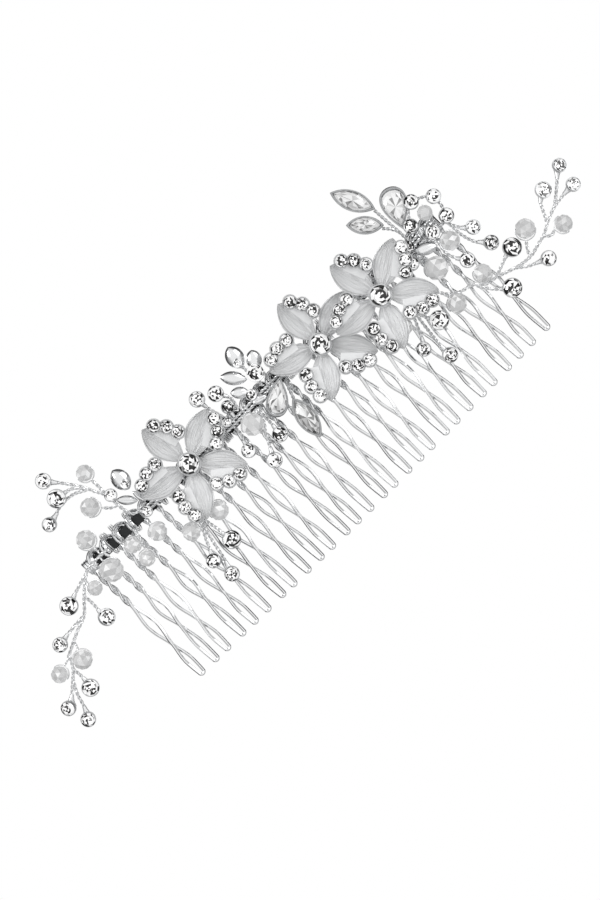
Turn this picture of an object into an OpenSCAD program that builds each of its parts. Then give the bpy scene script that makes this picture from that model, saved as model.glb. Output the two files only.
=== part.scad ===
// Bridal hair comb: a wire comb whose spine carries three pave flowers, wire sprigs of
// set stones, polished leaves and faceted crystals threaded on their own wire loops.
//
// Frame: X runs along the spine, +Z points up away from the tine tips, -Y is the
// decorated front, and the origin is the middle of the spine.

/* [Comb] */
// Number of tines
tine_count = 28; // [26:1:30]
// Distance from one tine to the next
tine_pitch = 4.1; // [3.6:0.1:5]
// Tine length below the spine bar
tine_length = 34.6; // [28:0.2:42]
// Diameter of the comb wire
comb_wire_d = 0.76; // [0.6:0.02:0.9]
// Length of the twisted neck of each tine
twist_length = 11.7; // [9:0.1:14]
// How far each tine leans sideways over its length
tine_lean = 1.2; // [0:0.1:2]

/* [Spine] */
// Height of the spine bar
bar_height = 2.4; // [2:0.1:3]
// Thickness of the spine bar
bar_thick = 0.8; // [0.6:0.1:1]
// Radius of the outer wire loops over the bar
outer_loop_r = 2.4; // [2.4:0.05:2.8]
// Radius of the inner wire loops over the bar
inner_loop_r = 1.6; // [1.5:0.05:1.7]
// Thickness of the binding wire
binding_wire_d = 0.4; // [0.3:0.05:0.5]

/* [Flowers] */
// Distance from a flower's middle to a petal tip
flower_radius = 13.2; // [11:0.1:16]
// Width of a petal beside its row of cups
petal_width = 6.6; // [5:0.1:8]
// Angle that a petal is turned away from its row of cups
petal_skew = 10; // [6:1:14]
// Thickness of a petal
petal_thick = 0.7; // [0.5:0.1:1]
// Radius of the shallow dish that the petals follow
dish_radius = 45; // [38:1:60]
// Outer diameter of the cups along a petal
petal_cup_d = 3.16; // [2.8:0.04:3.2]
// Outer diameter of the cup in a flower's middle
centre_cup_d = 4.9; // [4:0.1:6]

/* [Set stones] */
// Wall of a stone cup
cup_wall = 0.2; // [0.15:0.05:0.3]
// Space between a stone and its cup
cup_gap = 0.02; // [0.01:0.01:0.04]
// Height of a stone cup
cup_height = 1.25; // [1:0.05:1.6]

/* [Crystals] */
// Bore through a crystal
crystal_bore_d = 0.56; // [0.5:0.02:0.7]
// Running clearance of the loop wire in the bore, on the radius
bore_clearance = 0.07; // [0.03:0.01:0.1]
// Space between a crystal and the wire loop round it
loop_clearance = 0.35; // [0.3:0.05:0.6]

/* [Stems] */
// Diameter of a twisted stem
stem_d = 0.84; // [0.7:0.02:0.9]
// Diameter of the garland wires along the spine
garland_d = 0.84; // [0.7:0.02:0.9]

/* [Leaves and large stones] */
// Thickness of a polished leaf
leaf_thick = 0.5; // [0.4:0.1:0.8]
// Depth of the settings of the large stones
setting_depth = 1.6; // [1.2:0.1:2]
// Wall of those settings
setting_wall = 0.4; // [0.3:0.05:0.6]

/* [Hidden] */
$fn = 32;
wire_sides = 5;
comb_wire_r = comb_wire_d / 2;
stem_r = stem_d / 2;
loop_wire_r = crystal_bore_d / 2 - bore_clearance;
seat_gap = 0.03;

bar_over = 1.05;
bar_top = 1.1;
bar_bottom = bar_top - bar_height;
comb_length = (tine_count - 1) * tine_pitch + 2 * bar_over;
left_end = -comb_length / 2;
right_end = comb_length / 2;

// Tine: a twisted neck, an open eye and a narrow closed end
half_turns = 3.5;
strand_off = comb_wire_r + 0.02;
eye_half = 1.05;
tip_half = 0.6;
// Places of tines, and of the bays between them
function tine_x(i) = (i - (tine_count - 1) / 2) * tine_pitch;
function bay_x(i) = tine_x(i) + tine_pitch / 2;
function lean_of(i) = tine_lean + 0.5 * sin(360 * i / (tine_count - 1) - 20) + 0.35 * sin(137 * i);
function tip_drop(i) = 0.8 * sin(180 * i / (tine_count - 1));

// Loops over the bar
loop_z = -0.05;
loop_dx = 2.55;
outer_loop_turn = 24;
inner_loop_turn = 45;
loop_below = 35;
// Farthest that the loops stand out from the middle of the bar
loops_front = inner_loop_r * sin(inner_loop_turn) + comb_wire_r;

// Garland wires, just in front of the loops
garland_gap = 0.05;
garland_out = loops_front + garland_gap + garland_d / 2;
garland_half = garland_d / 2 + 0.03;
garland_front = garland_out + garland_d / 2;

// Flowers: middle [x, up, out], turn of the first petal, and the tie post's place
petal_count = 5;
boss_r = 3;
post_r = 1.3;
LEFT_FLOWER = [[1.8, 0.4, 4], 89, [0, 0]];
MIDDLE_FLOWER = [[1, -1.4, 4], 82, [0, 0]];
RIGHT_FLOWER = [[1.8, -3.3, 7.2], 95, [-1, 2.7]];
// Cups along a petal: distance from the flower's middle, and angle from the petal's tip
PETAL_CUPS = [[11.7, -1], [9.85, -12.5], [7.7, -25]];
// Outline of the ledge under the cups, along and across the petal
CUP_LEDGE = [[5, -0.5], [5.3, -3], [6.4, -4.4], [7.8, -4.3], [10.4, -3.2], [12.3, -1.6], [12.9, -0.2],
    [12.4, 0.9], [10, 1]];
petal_cup_h = 1.1;
petal_seat = 0.5;
centre_cup_h = 1.7;
centre_seat = 0.7;

// Which tine or bay each group of ornaments is fixed at
UPPER_BAY = 3;
LEFT_FLOWER_BAY = 7;
MIDDLE_BAY = 11;
PENDANT_BAY = 14;
MIDDLE_FLOWER_BAY = 17;
RIGHT_FLOWER_BAY = 21;
// Places of the bindings, measured from the group that they tie down
BINDINGS = [
    [bay_x(1), [0.8]], [bay_x(2), [-0.6]], [bay_x(UPPER_BAY), [-0.3]],
    [bay_x(LEFT_FLOWER_BAY), [-2 * tine_pitch, -tine_pitch, tine_pitch]],
    [bay_x(MIDDLE_BAY), [-2 * tine_pitch, -tine_pitch]], [bay_x(PENDANT_BAY), [tine_pitch]],
    [bay_x(MIDDLE_FLOWER_BAY), [-tine_pitch, tine_pitch]],
    [bay_x(RIGHT_FLOWER_BAY), [-2 * tine_pitch, -tine_pitch, tine_pitch - 0.7]], [bay_x(23), [0.8]],
];

// Points are [along the spine, up, out towards the front], from the group's own place.
// A stem is a list of points. A set stone is [point of its stem, radius of its cup,
// tilt downwards, tilt to the right]. A crystal is [name, middle, radius, turn of its
// bore, tilt of its loop, length of the twisted tail].
LEFT_STEMS = [
    [[6.9, 0, 2], [0.9, -0.1, 2], [-1.9, -1.6, 2.2], [-4.9, -4.3, 2.5], [-7.6, -7, 2.8],
     [-11.1, -8.4, 3], [-14.6, -10.1, 3.2], [-17.3, -11.5, 3.2]],
    [[-0.1, -0.5, 2.1], [-3.1, -1.3, 2.3], [-5.6, -2.1, 2.6], [-8, -3, 2.8]],
    [[-4.5, -3.9, 2.5], [-4.3, -6.5, 2.6], [-4.5, -8.9, 2.8], [-4.7, -10.8, 3]],
    [[-7.6, -7, 2.8], [-11.1, -7.2, 2.9], [-13.8, -7.5, 3], [-15.7, -7.9, 3.1]],
    [[-16.1, -10.8, 3.2], [-17.9, -13.8, 3.2], [-20, -15.8, 3.3], [-22.2, -17.8, 3.4],
     [-24.1, -19.3, 3.4]],
    [[-17.9, -13.8, 3.2], [-17.7, -16.5, 3.2], [-17.9, -19.3, 3.3]],
    [[-19.6, -15.5, 3.3], [-21.2, -18.5, 3.3], [-22.1, -21.5, 3.3], [-23.1, -24, 3.4]],
];
LEFT_GEMS = [
    [[-8.2, -3.1, 2.8], 2.2, 0, -10],
    [[-4.7, -10.9, 3], 2.1, 0, 30],
    [[-15.8, -7.9, 3.1], 1.8, 0, -10],
    [[-18, -19.4, 3.3], 2.1, 10, 0],
    [[-24.3, -19.4, 3.4], 1.8, 0, -25],
    [[-23.2, -24.1, 3.4], 1.8, 10, -10],
];
LEFT_BEADS = [
    ["crystal_left_sprig", [-14.8, -13.9, 4.3], 2.3, 160, 14, 2],
    ["crystal_left_tip", [-21, -12.6, 3.2], 2, 106, 0, 1.2],
    ["crystal_spine_end", [4.8, 4.9, 2.2], 2.3, 0, 0, 2.1],
];
LEFT_BOUND_BEADS = [
    ["", [4.2, -4.2, 4.1], 2.8, 180, 26, 1.3],
    ["", [-1.4, -4.4, 3.6], 1.8, 190, 26, 0.8],
];
UPPER_STEMS = [
    [[5, 1.3, 2], [1.4, 1.3, 2], [0.3, 4, 2.3], [-0.1, 8.5, 2.6], [-1.4, 11.2, 2.7],
     [-2.6, 13.8, 2.8], [-5.2, 17.6, 3], [-7.7, 20.6, 3.2]],
    [[-2.4, 13.2, 2.8], [-4.5, 15.2, 2.9], [-6.6, 15.8, 2.9], [-8.5, 16, 3]],
    [[-2.2, 12.6, 2.7], [-5.5, 14.2, 2.2], [-9, 14.4, 2], [-11.7, 13.6, 2.4], [-13.4, 13.2, 2.7]],
    [[-0.1, 8.8, 2.6], [0, 11.5, 2.7], [-0.1, 13.4, 2.9]],
    [[0.2, 5.3, 2.4], [-1.3, 5.9, 2.7], [-2.6, 7.1, 3]],
    [[-1.2, -0.9, 1.9], [-1.5, -3.2, 2.4], [-2.3, -5.6, 2.8]],
    [[2.3, -1.3, 2], [2.3, -3.2, 2.2]],
];
UPPER_GEMS = [
    [[-7.9, 20.8, 3.2], 1.9, -10, 0],
    [[-8.6, 16.1, 3], 2.25, 0, 0],
    [[-13.5, 13.1, 2.7], 1.75, 0, -20],
    [[0.6, 8, 2.6], 1.55, 0, 0],
];
UPPER_BEADS = [
    ["crystal_upper_top", [-0.1, 15.8, 2.9], 2, 0, 0, 0.3],
    ["crystal_upper_side", [-4.7, 9.4, 3], 2.3, 42.5, 0, 0.3],
    ["crystal_spine_left", [-3.7, -8, 3.2], 1.9, 150, 10, 0.4],
    ["crystal_spine_inner", [2.3, -5.4, 3.6], 2.2, 180, 30, 0.3],
];
UPPER_BOUND_BEADS = [
    ["", [-4, -3.5, 3.4], 1.9, 97, 22, 0.3],
];
DROP_LEFT_STEMS = [
    [[-tine_pitch - 1.8, -1.3, 2], [-5.4, -5, 2.3], [-4.7, -11, 2.6], [-4, -15, 2.8],
     [-3.8, -18.4, 2.9]],
    [[-4.56 - stem_d, -10.5, 2.6], [-7, -13.2, 2.8], [-8.6, -16.5, 2.7], [-9.7, -19.2, 2.9]],
    [[-6, -12.2, 2.7], [-7, -16.5, 2.4], [-7.8, -20.3, 2.5], [-8.8, -23.5, 2.8]],
    [[-5.2, -6.5, 2.4], [-6, -7.6, 2.7], [-6.4, -8.1, 2.9]],
    [[-0.9, -1.3, 2], [-0.9, -5, 2.2], [-0.9, -9.2, 2.6]],
];
DROP_LEFT_GEMS = [
    [[-3.7, -18.5, 2.9], 2.2, 0, 10],
    [[-9.8, -19.2, 3], 1.75, -10, 0],
    [[-8.9, -23.7, 2.8], 1.8, 15, 0],
];
DROP_LEFT_BEADS = [
    ["crystal_drop_left", [-8.7, -10.9, 4.6], 2.1, 141, 25, 1.1],
];
DROP_LEFT_BOUND_BEADS = [
    ["", [-0.9, -11.8, 3.4], 2.3, 180, 15, 0.3],
];
MIDDLE_STEMS = [
    [[-1.4, -1.3, 2], [-1.6, -3.5, 2.3], [-2.4, -5.5, 2.6], [-2.7, -7.1, 2.7]],
    [[4.6, -1.3, 2], [4.2, -4.5, 2.2], [2.6, -6.9, 2.4], [1, -10, 2.6], [-0.2, -12.3, 2.8]],
    [[5.2, -1.3, 2], [5.1, -4.5, 2.3], [5, -7, 2.5], [4.7, -9.3, 2.7]],
    [[-1.3, 1.3, 1.9], [-2.2, 4.5, 2.3], [-2.8, 7.3, 2.7], [-3, 9.4, 2.9]],
    [[2, 1.3, 2], [2.6, 4, 2.2], [1.8, 6, 2.5], [0.9, 7.3, 2.8]],
    [[0.2, 1.3, 2], [0.4, 3.3, 2.3]],
];
MIDDLE_GEMS = [
    [[-2.7, -7.2, 2.7], 1.75, -10, -10],
    [[-0.3, -12.4, 2.8], 1.9, 10, 0],
    [[4.7, -9.4, 2.7], 1.85, 0, 0],
    [[-3, 9.5, 2.9], 1.9, 0, 0],
    [[0.9, 7.4, 2.8], 1.9, 0, 0],
    [[0.5, 3.4, 2.3], 1.6, 0, 10],
];
MIDDLE_BEADS = [
    ["crystal_middle", [1.9, -3.3, 4.9], 2.75, 180, 45, 0.3],
];
PENDANT_STEMS = [
    [[-2.8, 7.6, 2.4], [-2.6, 4.5, 2.3], [-2.5, 1.3, 2]],
    [[2.1, -1.3, 2], [1.3, -3.2, 2], [0.3, -6, 1.9]],
    [[-7.4, 3.8, 2.3], [-6.9, 1.3, 2]],
    [[0.2, 6.5, 2.3], [-0.3, 3.5, 2.2], [-0.5, 1.3, 2]],
];
RIGHT_STEMS = [
    [[-4 * tine_pitch - 1.1, -1.3, 2], [-4 * tine_pitch + 0.5, -1.6, 2.1], [-13.4, -7.5, 2.3],
     [-11.2, -12.8, 2.5], [-8.6, -15.2, 2.7], [-5.1, -16.3, 2.9], [-2.8, -18.3, 3], [0.1, -18.9, 3.1],
     [3.6, -20.1, 3.2], [6.1, -20.8, 3.2], [9.1, -21, 3.2], [11.6, -20.4, 3.3], [14.6, -19.6, 3.4],
     [17.2, -18.2, 3.4], [20.6, -16.9, 3.4], [24.1, -16.4, 3.4], [26.6, -16.3, 3.5]],
    [[20.6, -16.9, 3.4], [22.9, -15.1, 3.5], [25.2, -13.1, 3.6], [27.4, -11.1, 3.6]],
    [[16.8, -18.4, 3.4], [17.9, -16.2, 3.4], [19.2, -13.8, 3.5], [21, -12.5, 3.5]],
    [[0.1, -18.9, 3.1], [2.6, -17.9, 3.1], [5.1, -17, 3.2], [6.9, -16.6, 3.2]],
    [[-4.4, -17.2, 2.9], [-3.2, -19.2, 3], [-1.4, -21.3, 3.1], [0.7, -22.9, 3.2]],
    [[4.6, -20.5, 3.2], [6.9, -22.2, 3.2], [9.1, -23.2, 3.3], [11, -24, 3.3]],
    [[8.8, -20.7, 3.2], [9.5, -19.4, 3.2], [10.4, -18.1, 3.3]],
    [[14.1, -19.8, 3.4], [15.4, -20.9, 3.4], [16.7, -20.8, 3.4]],
    [[-11, -13.2, 2.6], [-10.8, -14.2, 2.9]],
];
RIGHT_GEMS = [
    [[26.7, -16.3, 3.5], 1.75, 0, 20],
    [[27.5, -11, 3.6], 1.7, 0, 20],
    [[21.1, -12.4, 3.5], 2, 0, 15],
    [[7, -16.6, 3.2], 2.3, 0, 10],
    [[0.8, -22.9, 3.2], 2.3, 10, 0],
    [[11.1, -24, 3.3], 1.85, 10, 10],
];
RIGHT_BEADS = [
    ["crystal_right_sprig", [12.4, -15.7, 3.3], 2.4, -40, 0, 0.3],
    ["crystal_right_tip", [19.4, -21.1, 3.4], 2.1, 261, 0, 0.3],
    ["crystal_right_low", [-10.6, -16.8, 4.3], 2.3, 185, 30, 0.3],
    ["crystal_right_corner", [-1.6, -16, 4.3], 2.2, 307, 28, 0.1],
];
SPRAY_STEMS = [
    [[-8.8, 11.4, 2.7], [-8.6, 8.5, 2.5], [-8.4, 5.5, 2.4], [-8.2, 3, 2.2], [-8.2, 1.3, 2]],
    [[-10.4, 7.2, 2.6], [-9.2, 5.8, 2.5], [-8.3, 4.2, 2.3]],
    [[-6.9, 1.3, 2], [-6.1, 2, 2.6], [-5.4, 3, 3.3], [-3.8, 5.6, 3.3], [-1.7, 6.6, 3.3],
     [0.9, 5.9, 2.8], [2.6, 4.2, 2.6], [2.8, 1.7, 2.5], [1.7, -0.7, 2.6], [-0.6, -1.8, 2.5],
     [-3, -1.2, 2.5], [-4.9, -1.4, 2.3], [-6.9, -1.3, 2]],
    [[-1.2, -1.8, 2.5], [-0.8, 0.5, 1.7], [-1.2, 2.9, 1.7]],
    [[-5.9, -1.3, 2.1], [-4.4, -2.9, 2], [-3.1, -4.2, 2.2]],
    [[-3.4, -3.2, 2.4], [-4.1, -7, 2], [-2.9, -10, 2.2], [-1.9, -11.4, 2.5]],
    [[0.6, -1.6, 2.5], [1.5, -3.8, 2.6], [2.6, -5.6, 2.7], [3.9, -7, 2.8]],
    [[1.1, -2.9, 2.5], [1.3, -6.5, 2.4], [2.4, -9.8, 2.4], [4.4, -12.2, 2.6]],
    [[-8.9, -1.3, 2], [-8.4, -3.2, 2], [-8.2, -4.9, 2.1]],
    [[-11.8, -1.3, 2], [-11.4, -3.1, 2.2]],
];
ROSETTE_GEMS = [
    [[-1.7, 6.6, 3.3], 1.8, -10, 0],
    [[2.6, 4.2, 2.6], 1.8, 0, 12],
    [[1.7, -0.7, 2.6], 1.8, 12, 8],
    [[-3, -1.2, 2.5], 1.8, 8, 0],
    [[-5.4, 3, 3.3], 1.8, 0, -12],
];
SPRAY_GEMS = [
    [[-1.9, -11.5, 2.5], 1.85, 0, 0],
    [[4, -7.1, 2.8], 1.8, 0, 15],
    [[4.5, -12.3, 2.6], 1.8, 10, 10],
    [[-11.4, -3.2, 2.2], 1.7, 0, 0],
];
SPRAY_BEADS = [
    ["crystal_rosette", [-1.2, 2.9, 4], 1.85, 62, 90, 0.1],
    ["crystal_rosette_low", [-1.6, -5.6, 3.9], 2.35, 215, 30, 0.3],
    ["crystal_right_large", [-8.2, -7.8, 4.1], 2.85, 180, 35, 0.3],
];
DROP_RIGHT_STEMS = [
    [[tine_pitch + 0.6, -1.3, 2], [5, -6, 2.3], [5, -11, 2.6], [6, -14.2, 2.8], [7.4, -16.5, 3]],
    [[4.7, -10.5, 2.6], [3.5, -13.2, 2.7], [2, -16.5, 2.8], [0.7, -18.9, 2.9]],
    [[4.8, -12, 2.6], [4.2, -16.5, 2.5], [3.8, -20.5, 2.6], [3.7, -23.6, 2.8]],
    [[0.8, -1.3, 2], [0.8, -5, 2.4], [0.8, -9.6, 2.7]],
];
DROP_RIGHT_GEMS = [
    [[7.5, -16.6, 3], 2.3, 0, 0],
    [[0.6, -19, 2.9], 1.75, -10, -10],
    [[3.7, -23.7, 2.8], 1.85, 10, 0],
];
DROP_RIGHT_BOUND_BEADS = [
    ["", [0.8, -12.3, 3.4], 1.8, 180, 20, 0.3],
];

// Large stones: [middle, length, width, turn of the long axis]
MARQUISES_UP = [
    [[-10.9, 16.4, 3.2], 10.9, 4.7, 115.5],
    [[-12.8, 10.5, 3.1], 8.6, 4.2, 135.5],
];
MARQUISE_LOW = [[-0.6, -11, 2.4], 10.9, 4.8, 81.5];
TEARDROP_UP = [[-5, 8.3, 1.2], 10.2, 6.4, 245];
TEARDROP_LOW = [[-1.9, -3, 3], 9.4, 5.2, 39];
large_seat = 0.8;

// Polished leaves: [middle, length, width, turn]
UPPER_LEAVES = [
    [[4.7, 8.9, 2.7], 5.8, 4.2, 88],
    [[2.4, 4.6, 2.8], 5.2, 2.2, 134],
    [[5, 3.3, 2.8], 3.8, 1.5, 100],
];
MIDDLE_LEAVES = [
    [[-2.5, 10.2, 2.7], 5.8, 4.2, 80],
    [[-6.1, 7.1, 2.7], 6.4, 3.2, 130],
    [[0.2, 6.8, 2.7], 4.6, 3.6, 60],
    [[-7.4, 3.8, 2.7], 4.2, 2.8, 140],
    [[-5.2, -0.5, 2.7], 3.8, 2.2, -20],
];
RIGHT_LEAVES = [
    [[-6.7, -3, 2.7], 5.6, 3, -28],
];
// Cups that stand on leaves: [middle, radius]
UPPER_LEAF_CUPS = [[[4.7, 7.6, 2.7], 1.15]];
MIDDLE_LEAF_CUPS = [[[-3, 8.9, 2.7], 1.15], [[-1.7, 4.4, 2.7], 2.1], [[-5.9, 1.6, 2.7], 1.35]];
// Cups that stand on the garland wires: [middle, radius]
GARLAND_CUPS_UPPER = [[[3.9, -0.4, 0], 1.35]];
GARLAND_CUPS_MIDDLE = [[[-1.9, 1.2, 0], 1.3]];
GARLAND_CUPS_RIGHT = [[[-9.2, 0.1, 0], 1.45]];

// Garland wires run from the upper sprig to the rosette
garland_from = bay_x(UPPER_BAY) + 2.5;
garland_to = right_end - 6;

ALL_BEADS = concat(LEFT_BEADS, UPPER_BEADS, DROP_LEFT_BEADS, MIDDLE_BEADS, RIGHT_BEADS, SPRAY_BEADS);

// ---------------------------------------------------------------- shared shapes

// Moves a group to its place along the spine; inside it X runs along the spine,
// Y up and Z out towards the front
module group_at(x) translate([x, 0, 0]) rotate([90, 0, 0]) children();

function unit(v) = v / norm(v);
function along(p, i) = unit(p[min(i + 1, len(p) - 1)] - p[max(i - 1, 0)]);

// A round wire swept along points; ref is any direction that the wire never takes
module swept_wire(p, r, ref) {
    n = len(p);
    s = wire_sides;
    rings = [for (i = [0:n - 1])
        let (t = along(p, i), u = unit(cross(ref, t)), v = cross(t, u))
        for (k = [0:s - 1]) p[i] + r * (cos(360 * k / s) * u + sin(360 * k / s) * v)];
    walls = [for (i = [0:n - 2]) for (k = [0:s - 1])
        let (m = (k + 1) % s) [i * s + k, (i + 1) * s + k, (i + 1) * s + m, i * s + m]];
    caps = [[for (k = [0:s - 1]) k], [for (k = [s - 1:-1:0]) (n - 1) * s + k]];
    polyhedron(points = rings, faces = concat(walls, caps));
}

// Stems of one group, swept in that group's own frame
module stems(paths) for (p = paths) swept_wire(p, stem_r, [0, 0, 1]);

// Seats a stone's cup in front of its stem
module on_stem(g) translate(g[0]) rotate([g[2], g[3], 0])
    translate([0, 0, stem_r + seat_gap]) children();

// A round cup with a flat seat, open to the front
module cup(r, h, seat) difference() {
    cylinder(r = r, h = h);
    translate([0, 0, h - seat]) cylinder(r = r - cup_wall, h = seat + 1);
}

// A brilliant in that cup: a straight girdle and a crown cut down to a flat table
module stone(r, h, seat) {
    g = r - cup_wall - cup_gap;
    translate([0, 0, h - seat]) rotate_extrude()
        polygon([[0, 0], [g, 0], [g, seat], [0.58 * g, seat + 0.34 * g], [0, seat + 0.34 * g]]);
}

small_seat = 0.6;
module gem_cups(list) for (g = list) on_stem(g) cup(g[1], cup_height, small_seat);
module gem_stones(list) for (g = list) on_stem(g) stone(g[1], cup_height, small_seat);

// A faceted crystal about the X axis of its own frame, with its bore
module crystal_body(r) {
    bore_r = crystal_bore_d / 2;
    rotate([0, 90, 0]) rotate_extrude()
        polygon([[bore_r, 0.9 * r], [0.45 * r, 0.9 * r], [0.86 * r, 0.5 * r], [r, 0],
            [0.86 * r, -0.5 * r], [0.45 * r, -0.9 * r], [bore_r, -0.9 * r]]);
}

module at_crystal(b) translate(b[1]) rotate([0, 0, b[3]]) rotate([b[4], 0, 0]) children();

// The wire that carries a crystal: a straight pin through the bore, bent back on both
// sides round the crystal and twisted together into a short tail
module crystal_loop(b) at_crystal(b) {
    reach = b[2] + loop_clearance + loop_wire_r;
    rotate([0, 90, 0]) cylinder(r = loop_wire_r, h = 2 * reach, center = true);
    rotate([0, 0, 176]) rotate_extrude(angle = 188) translate([reach, 0]) circle(r = loop_wire_r, $fn = 16);
    translate([0, -reach, 0]) rotate([90, 0, 0]) cylinder(r = 1.4 * loop_wire_r, h = b[5], $fn = 16);
}

// Outline of a leaf or a marquise: two equal arcs that meet in points
module pointed_oval(len, wid) {
    arc_r = (len * len + wid * wid) / (4 * wid);
    intersection() {
        translate([0, arc_r - wid / 2]) circle(r = arc_r, $fn = 96);
        translate([0, wid / 2 - arc_r]) circle(r = arc_r, $fn = 96);
    }
}

// Outline of a teardrop with its point at +X
module teardrop_outline(len, wid) polygon([for (a = [0:12:348])
    [len / 2 * cos(a), wid / 2 * sin(a) * pow(sin(a / 2), 1.1) * 1.3]]);

module leaf(l) translate(l[0]) rotate([0, 0, l[3]]) linear_extrude(leaf_thick) pointed_oval(l[1], l[2]);
module leaf_cup(c) translate(c[0]) cup(c[1], cup_height + 0.4, small_seat);
module leaf_stone(c) translate(c[0]) stone(c[1], cup_height + 0.4, small_seat);

// ---------------------------------------------------------------- comb

// Flat bar with a raised rib along both edges of its front
module spine_bar() color("#5a5c60") group_at(0) {
    rib = 0.12;
    rib_width = 0.3;
    half = bar_thick / 2;
    rotate([90, 0, 90]) translate([0, 0, left_end]) linear_extrude(comb_length)
        polygon([[bar_bottom, -half], [bar_bottom, half], [bar_bottom + rib_width, half],
            [bar_bottom + rib_width, half - rib], [bar_top - rib_width, half - rib],
            [bar_top - rib_width, half], [bar_top, half], [bar_top, -half]]);
}

// Half of a loop's wire lies in front of the bar and half behind it
module bar_loop(r, turn) rotate([0, turn, 0]) rotate([0, 0, -loop_below])
    rotate_extrude(angle = 180 + 2 * loop_below) translate([r, 0]) circle(r = comb_wire_r, $fn = 16);

module spine_loops() color("#cfd2d6") group_at(0)
    for (i = [0:tine_count - 2]) translate([tine_x(i) + loop_dx, loop_z, 0]) {
        bar_loop(outer_loop_r, outer_loop_turn);
        bar_loop(inner_loop_r, inner_loop_turn);
    }

// Half-width, depth and angle of a strand: s is 1 or -1 for the two strands
function strand_point(x, half, angle, z, s) = [x + s * half * cos(angle), z, s * strand_off * sin(angle)];

function strand(i, s) = let (
        x0 = tine_x(i),
        full = tine_length + tip_drop(i),
        drop = function (z) x0 + lean_of(i) * (bar_bottom - z) / full,
        neck = bar_bottom - twist_length,
        cross_z = neck - (i % 2 == 0 ? 13.2 : 11.2),
        tip_z = bar_bottom - full + tip_half + comb_wire_r,
        neck_turn = 180 * half_turns)
    concat(
        [for (k = [0:8]) let (z = bar_bottom - twist_length * k / 9)
            strand_point(drop(z), strand_off, neck_turn * k / 9, z, s)],
        [for (k = [0:5]) let (q = k / 5, z = neck + (cross_z - neck) * q)
            strand_point(drop(z), strand_off + (eye_half - strand_off) * sin(180 * q),
                neck_turn + 180 * q, z, s)],
        [for (k = [1:2]) let (q = k / 2, z = cross_z + (tip_z - cross_z) * q * 0.9)
            strand_point(drop(z), tip_half, neck_turn + 180 + 90 * q, z, s)],
        [strand_point(drop(tip_z), tip_half, neck_turn + 270, tip_z, s)]);

function tine_path(i) = let (
        a = strand(i, 1), b = strand(i, -1), n = len(a),
        mid = (a[n - 1] + b[n - 1]) / 2, side = a[n - 1] - mid)
    concat(a, [for (q = [45, 90, 135]) mid + cos(q) * side + [0, -sin(q) * tip_half, 0]],
        [for (k = [n - 1:-1:0]) b[k]]);

module tines(first, last) color("#d9dbde") group_at(0)
    for (i = [first:last]) swept_wire(tine_path(i), comb_wire_r, [0, 0, 1]);

quarter = floor(tine_count / 4);
module tines_far_left() tines(0, quarter - 1);
module tines_mid_left() tines(quarter, 2 * quarter - 1);
module tines_mid_right() tines(2 * quarter, 3 * quarter - 1);
module tines_far_right() tines(3 * quarter, tine_count - 1);

module garland_wires() color("#d9dbde") group_at(0)
    for (up = [garland_half, -garland_half]) translate([garland_from, up, garland_out])
        rotate([0, 90, 0]) cylinder(r = garland_d / 2, h = garland_to - garland_from);

// Rings of fine wire that bind the garland and the stems to the spine
binding_r = 3;
module binding_wire() color("#b9bcc1") for (g = BINDINGS) group_at(g[0])
    for (x = g[1]) for (s = [-1, 0, 1]) translate([x + 0.45 * s, 0.5, 0.3])
        rotate([0, 90, 0]) rotate_extrude() translate([binding_r, 0])
            circle(r = binding_wire_d / 2, $fn = 16);

// ---------------------------------------------------------------- flowers

// Width along a petal rises quickly, stays full and closes in a blunt point
function petal_half(t) = petal_width / 2 * pow(max(sin(180 * pow(t, 1.05)), 0), 0.75);
module petal_outline() {
    from = 1.6;
    steps = 11;
    long = flower_radius - from;
    edge = [for (k = [0:steps]) [from + long * k / steps, petal_half(k / steps)]];
    rotate([0, 0, petal_skew]) polygon(concat(edge, [for (k = [steps - 1:-1:1]) [edge[k][0], -edge[k][1]]]));
    polygon(CUP_LEDGE);
}
function petal_turn(f, k) = f[1] + 360 * k / petal_count;
function dish_rise(r) = dish_radius - sqrt(dish_radius * dish_radius - r * r);

module flower_frame(f) translate(f[0]) children();
module each_petal_cup(f) for (k = [0:petal_count - 1]) for (c = PETAL_CUPS)
    rotate([0, 0, petal_turn(f, k) + c[1]])
        translate([c[0], 0, dish_rise(c[0]) + petal_thick / 2]) children();

module petals(f) flower_frame(f) difference() {
    union() {
        intersection() {
            translate([0, 0, dish_radius]) difference() {
                sphere(r = dish_radius, $fn = 128);
                sphere(r = dish_radius - petal_thick, $fn = 128);
            }
            linear_extrude(6) {
                circle(r = boss_r);
                for (k = [0:petal_count - 1]) rotate([0, 0, petal_turn(f, k)]) petal_outline();
            }
        }
        each_petal_cup(f) cylinder(d = petal_cup_d, h = petal_cup_h);
        translate([f[2][0], f[2][1], garland_front + garland_gap - f[0][2]])
            cylinder(r = post_r, h = f[0][2] - garland_front + 0.3);
    }
    each_petal_cup(f) translate([0, 0, petal_cup_h - petal_seat])
        cylinder(d = petal_cup_d - 2 * cup_wall, h = petal_seat + 1);
}

centre_base = petal_thick + 0.09;
module centre_cup(f) flower_frame(f) translate([0, 0, centre_base])
    cup(centre_cup_d / 2, centre_cup_h, centre_seat);
module flower_stones(f) flower_frame(f) {
    translate([0, 0, centre_base]) stone(centre_cup_d / 2, centre_cup_h, centre_seat);
    each_petal_cup(f) stone(petal_cup_d / 2, petal_cup_h, petal_seat);
}

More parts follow.
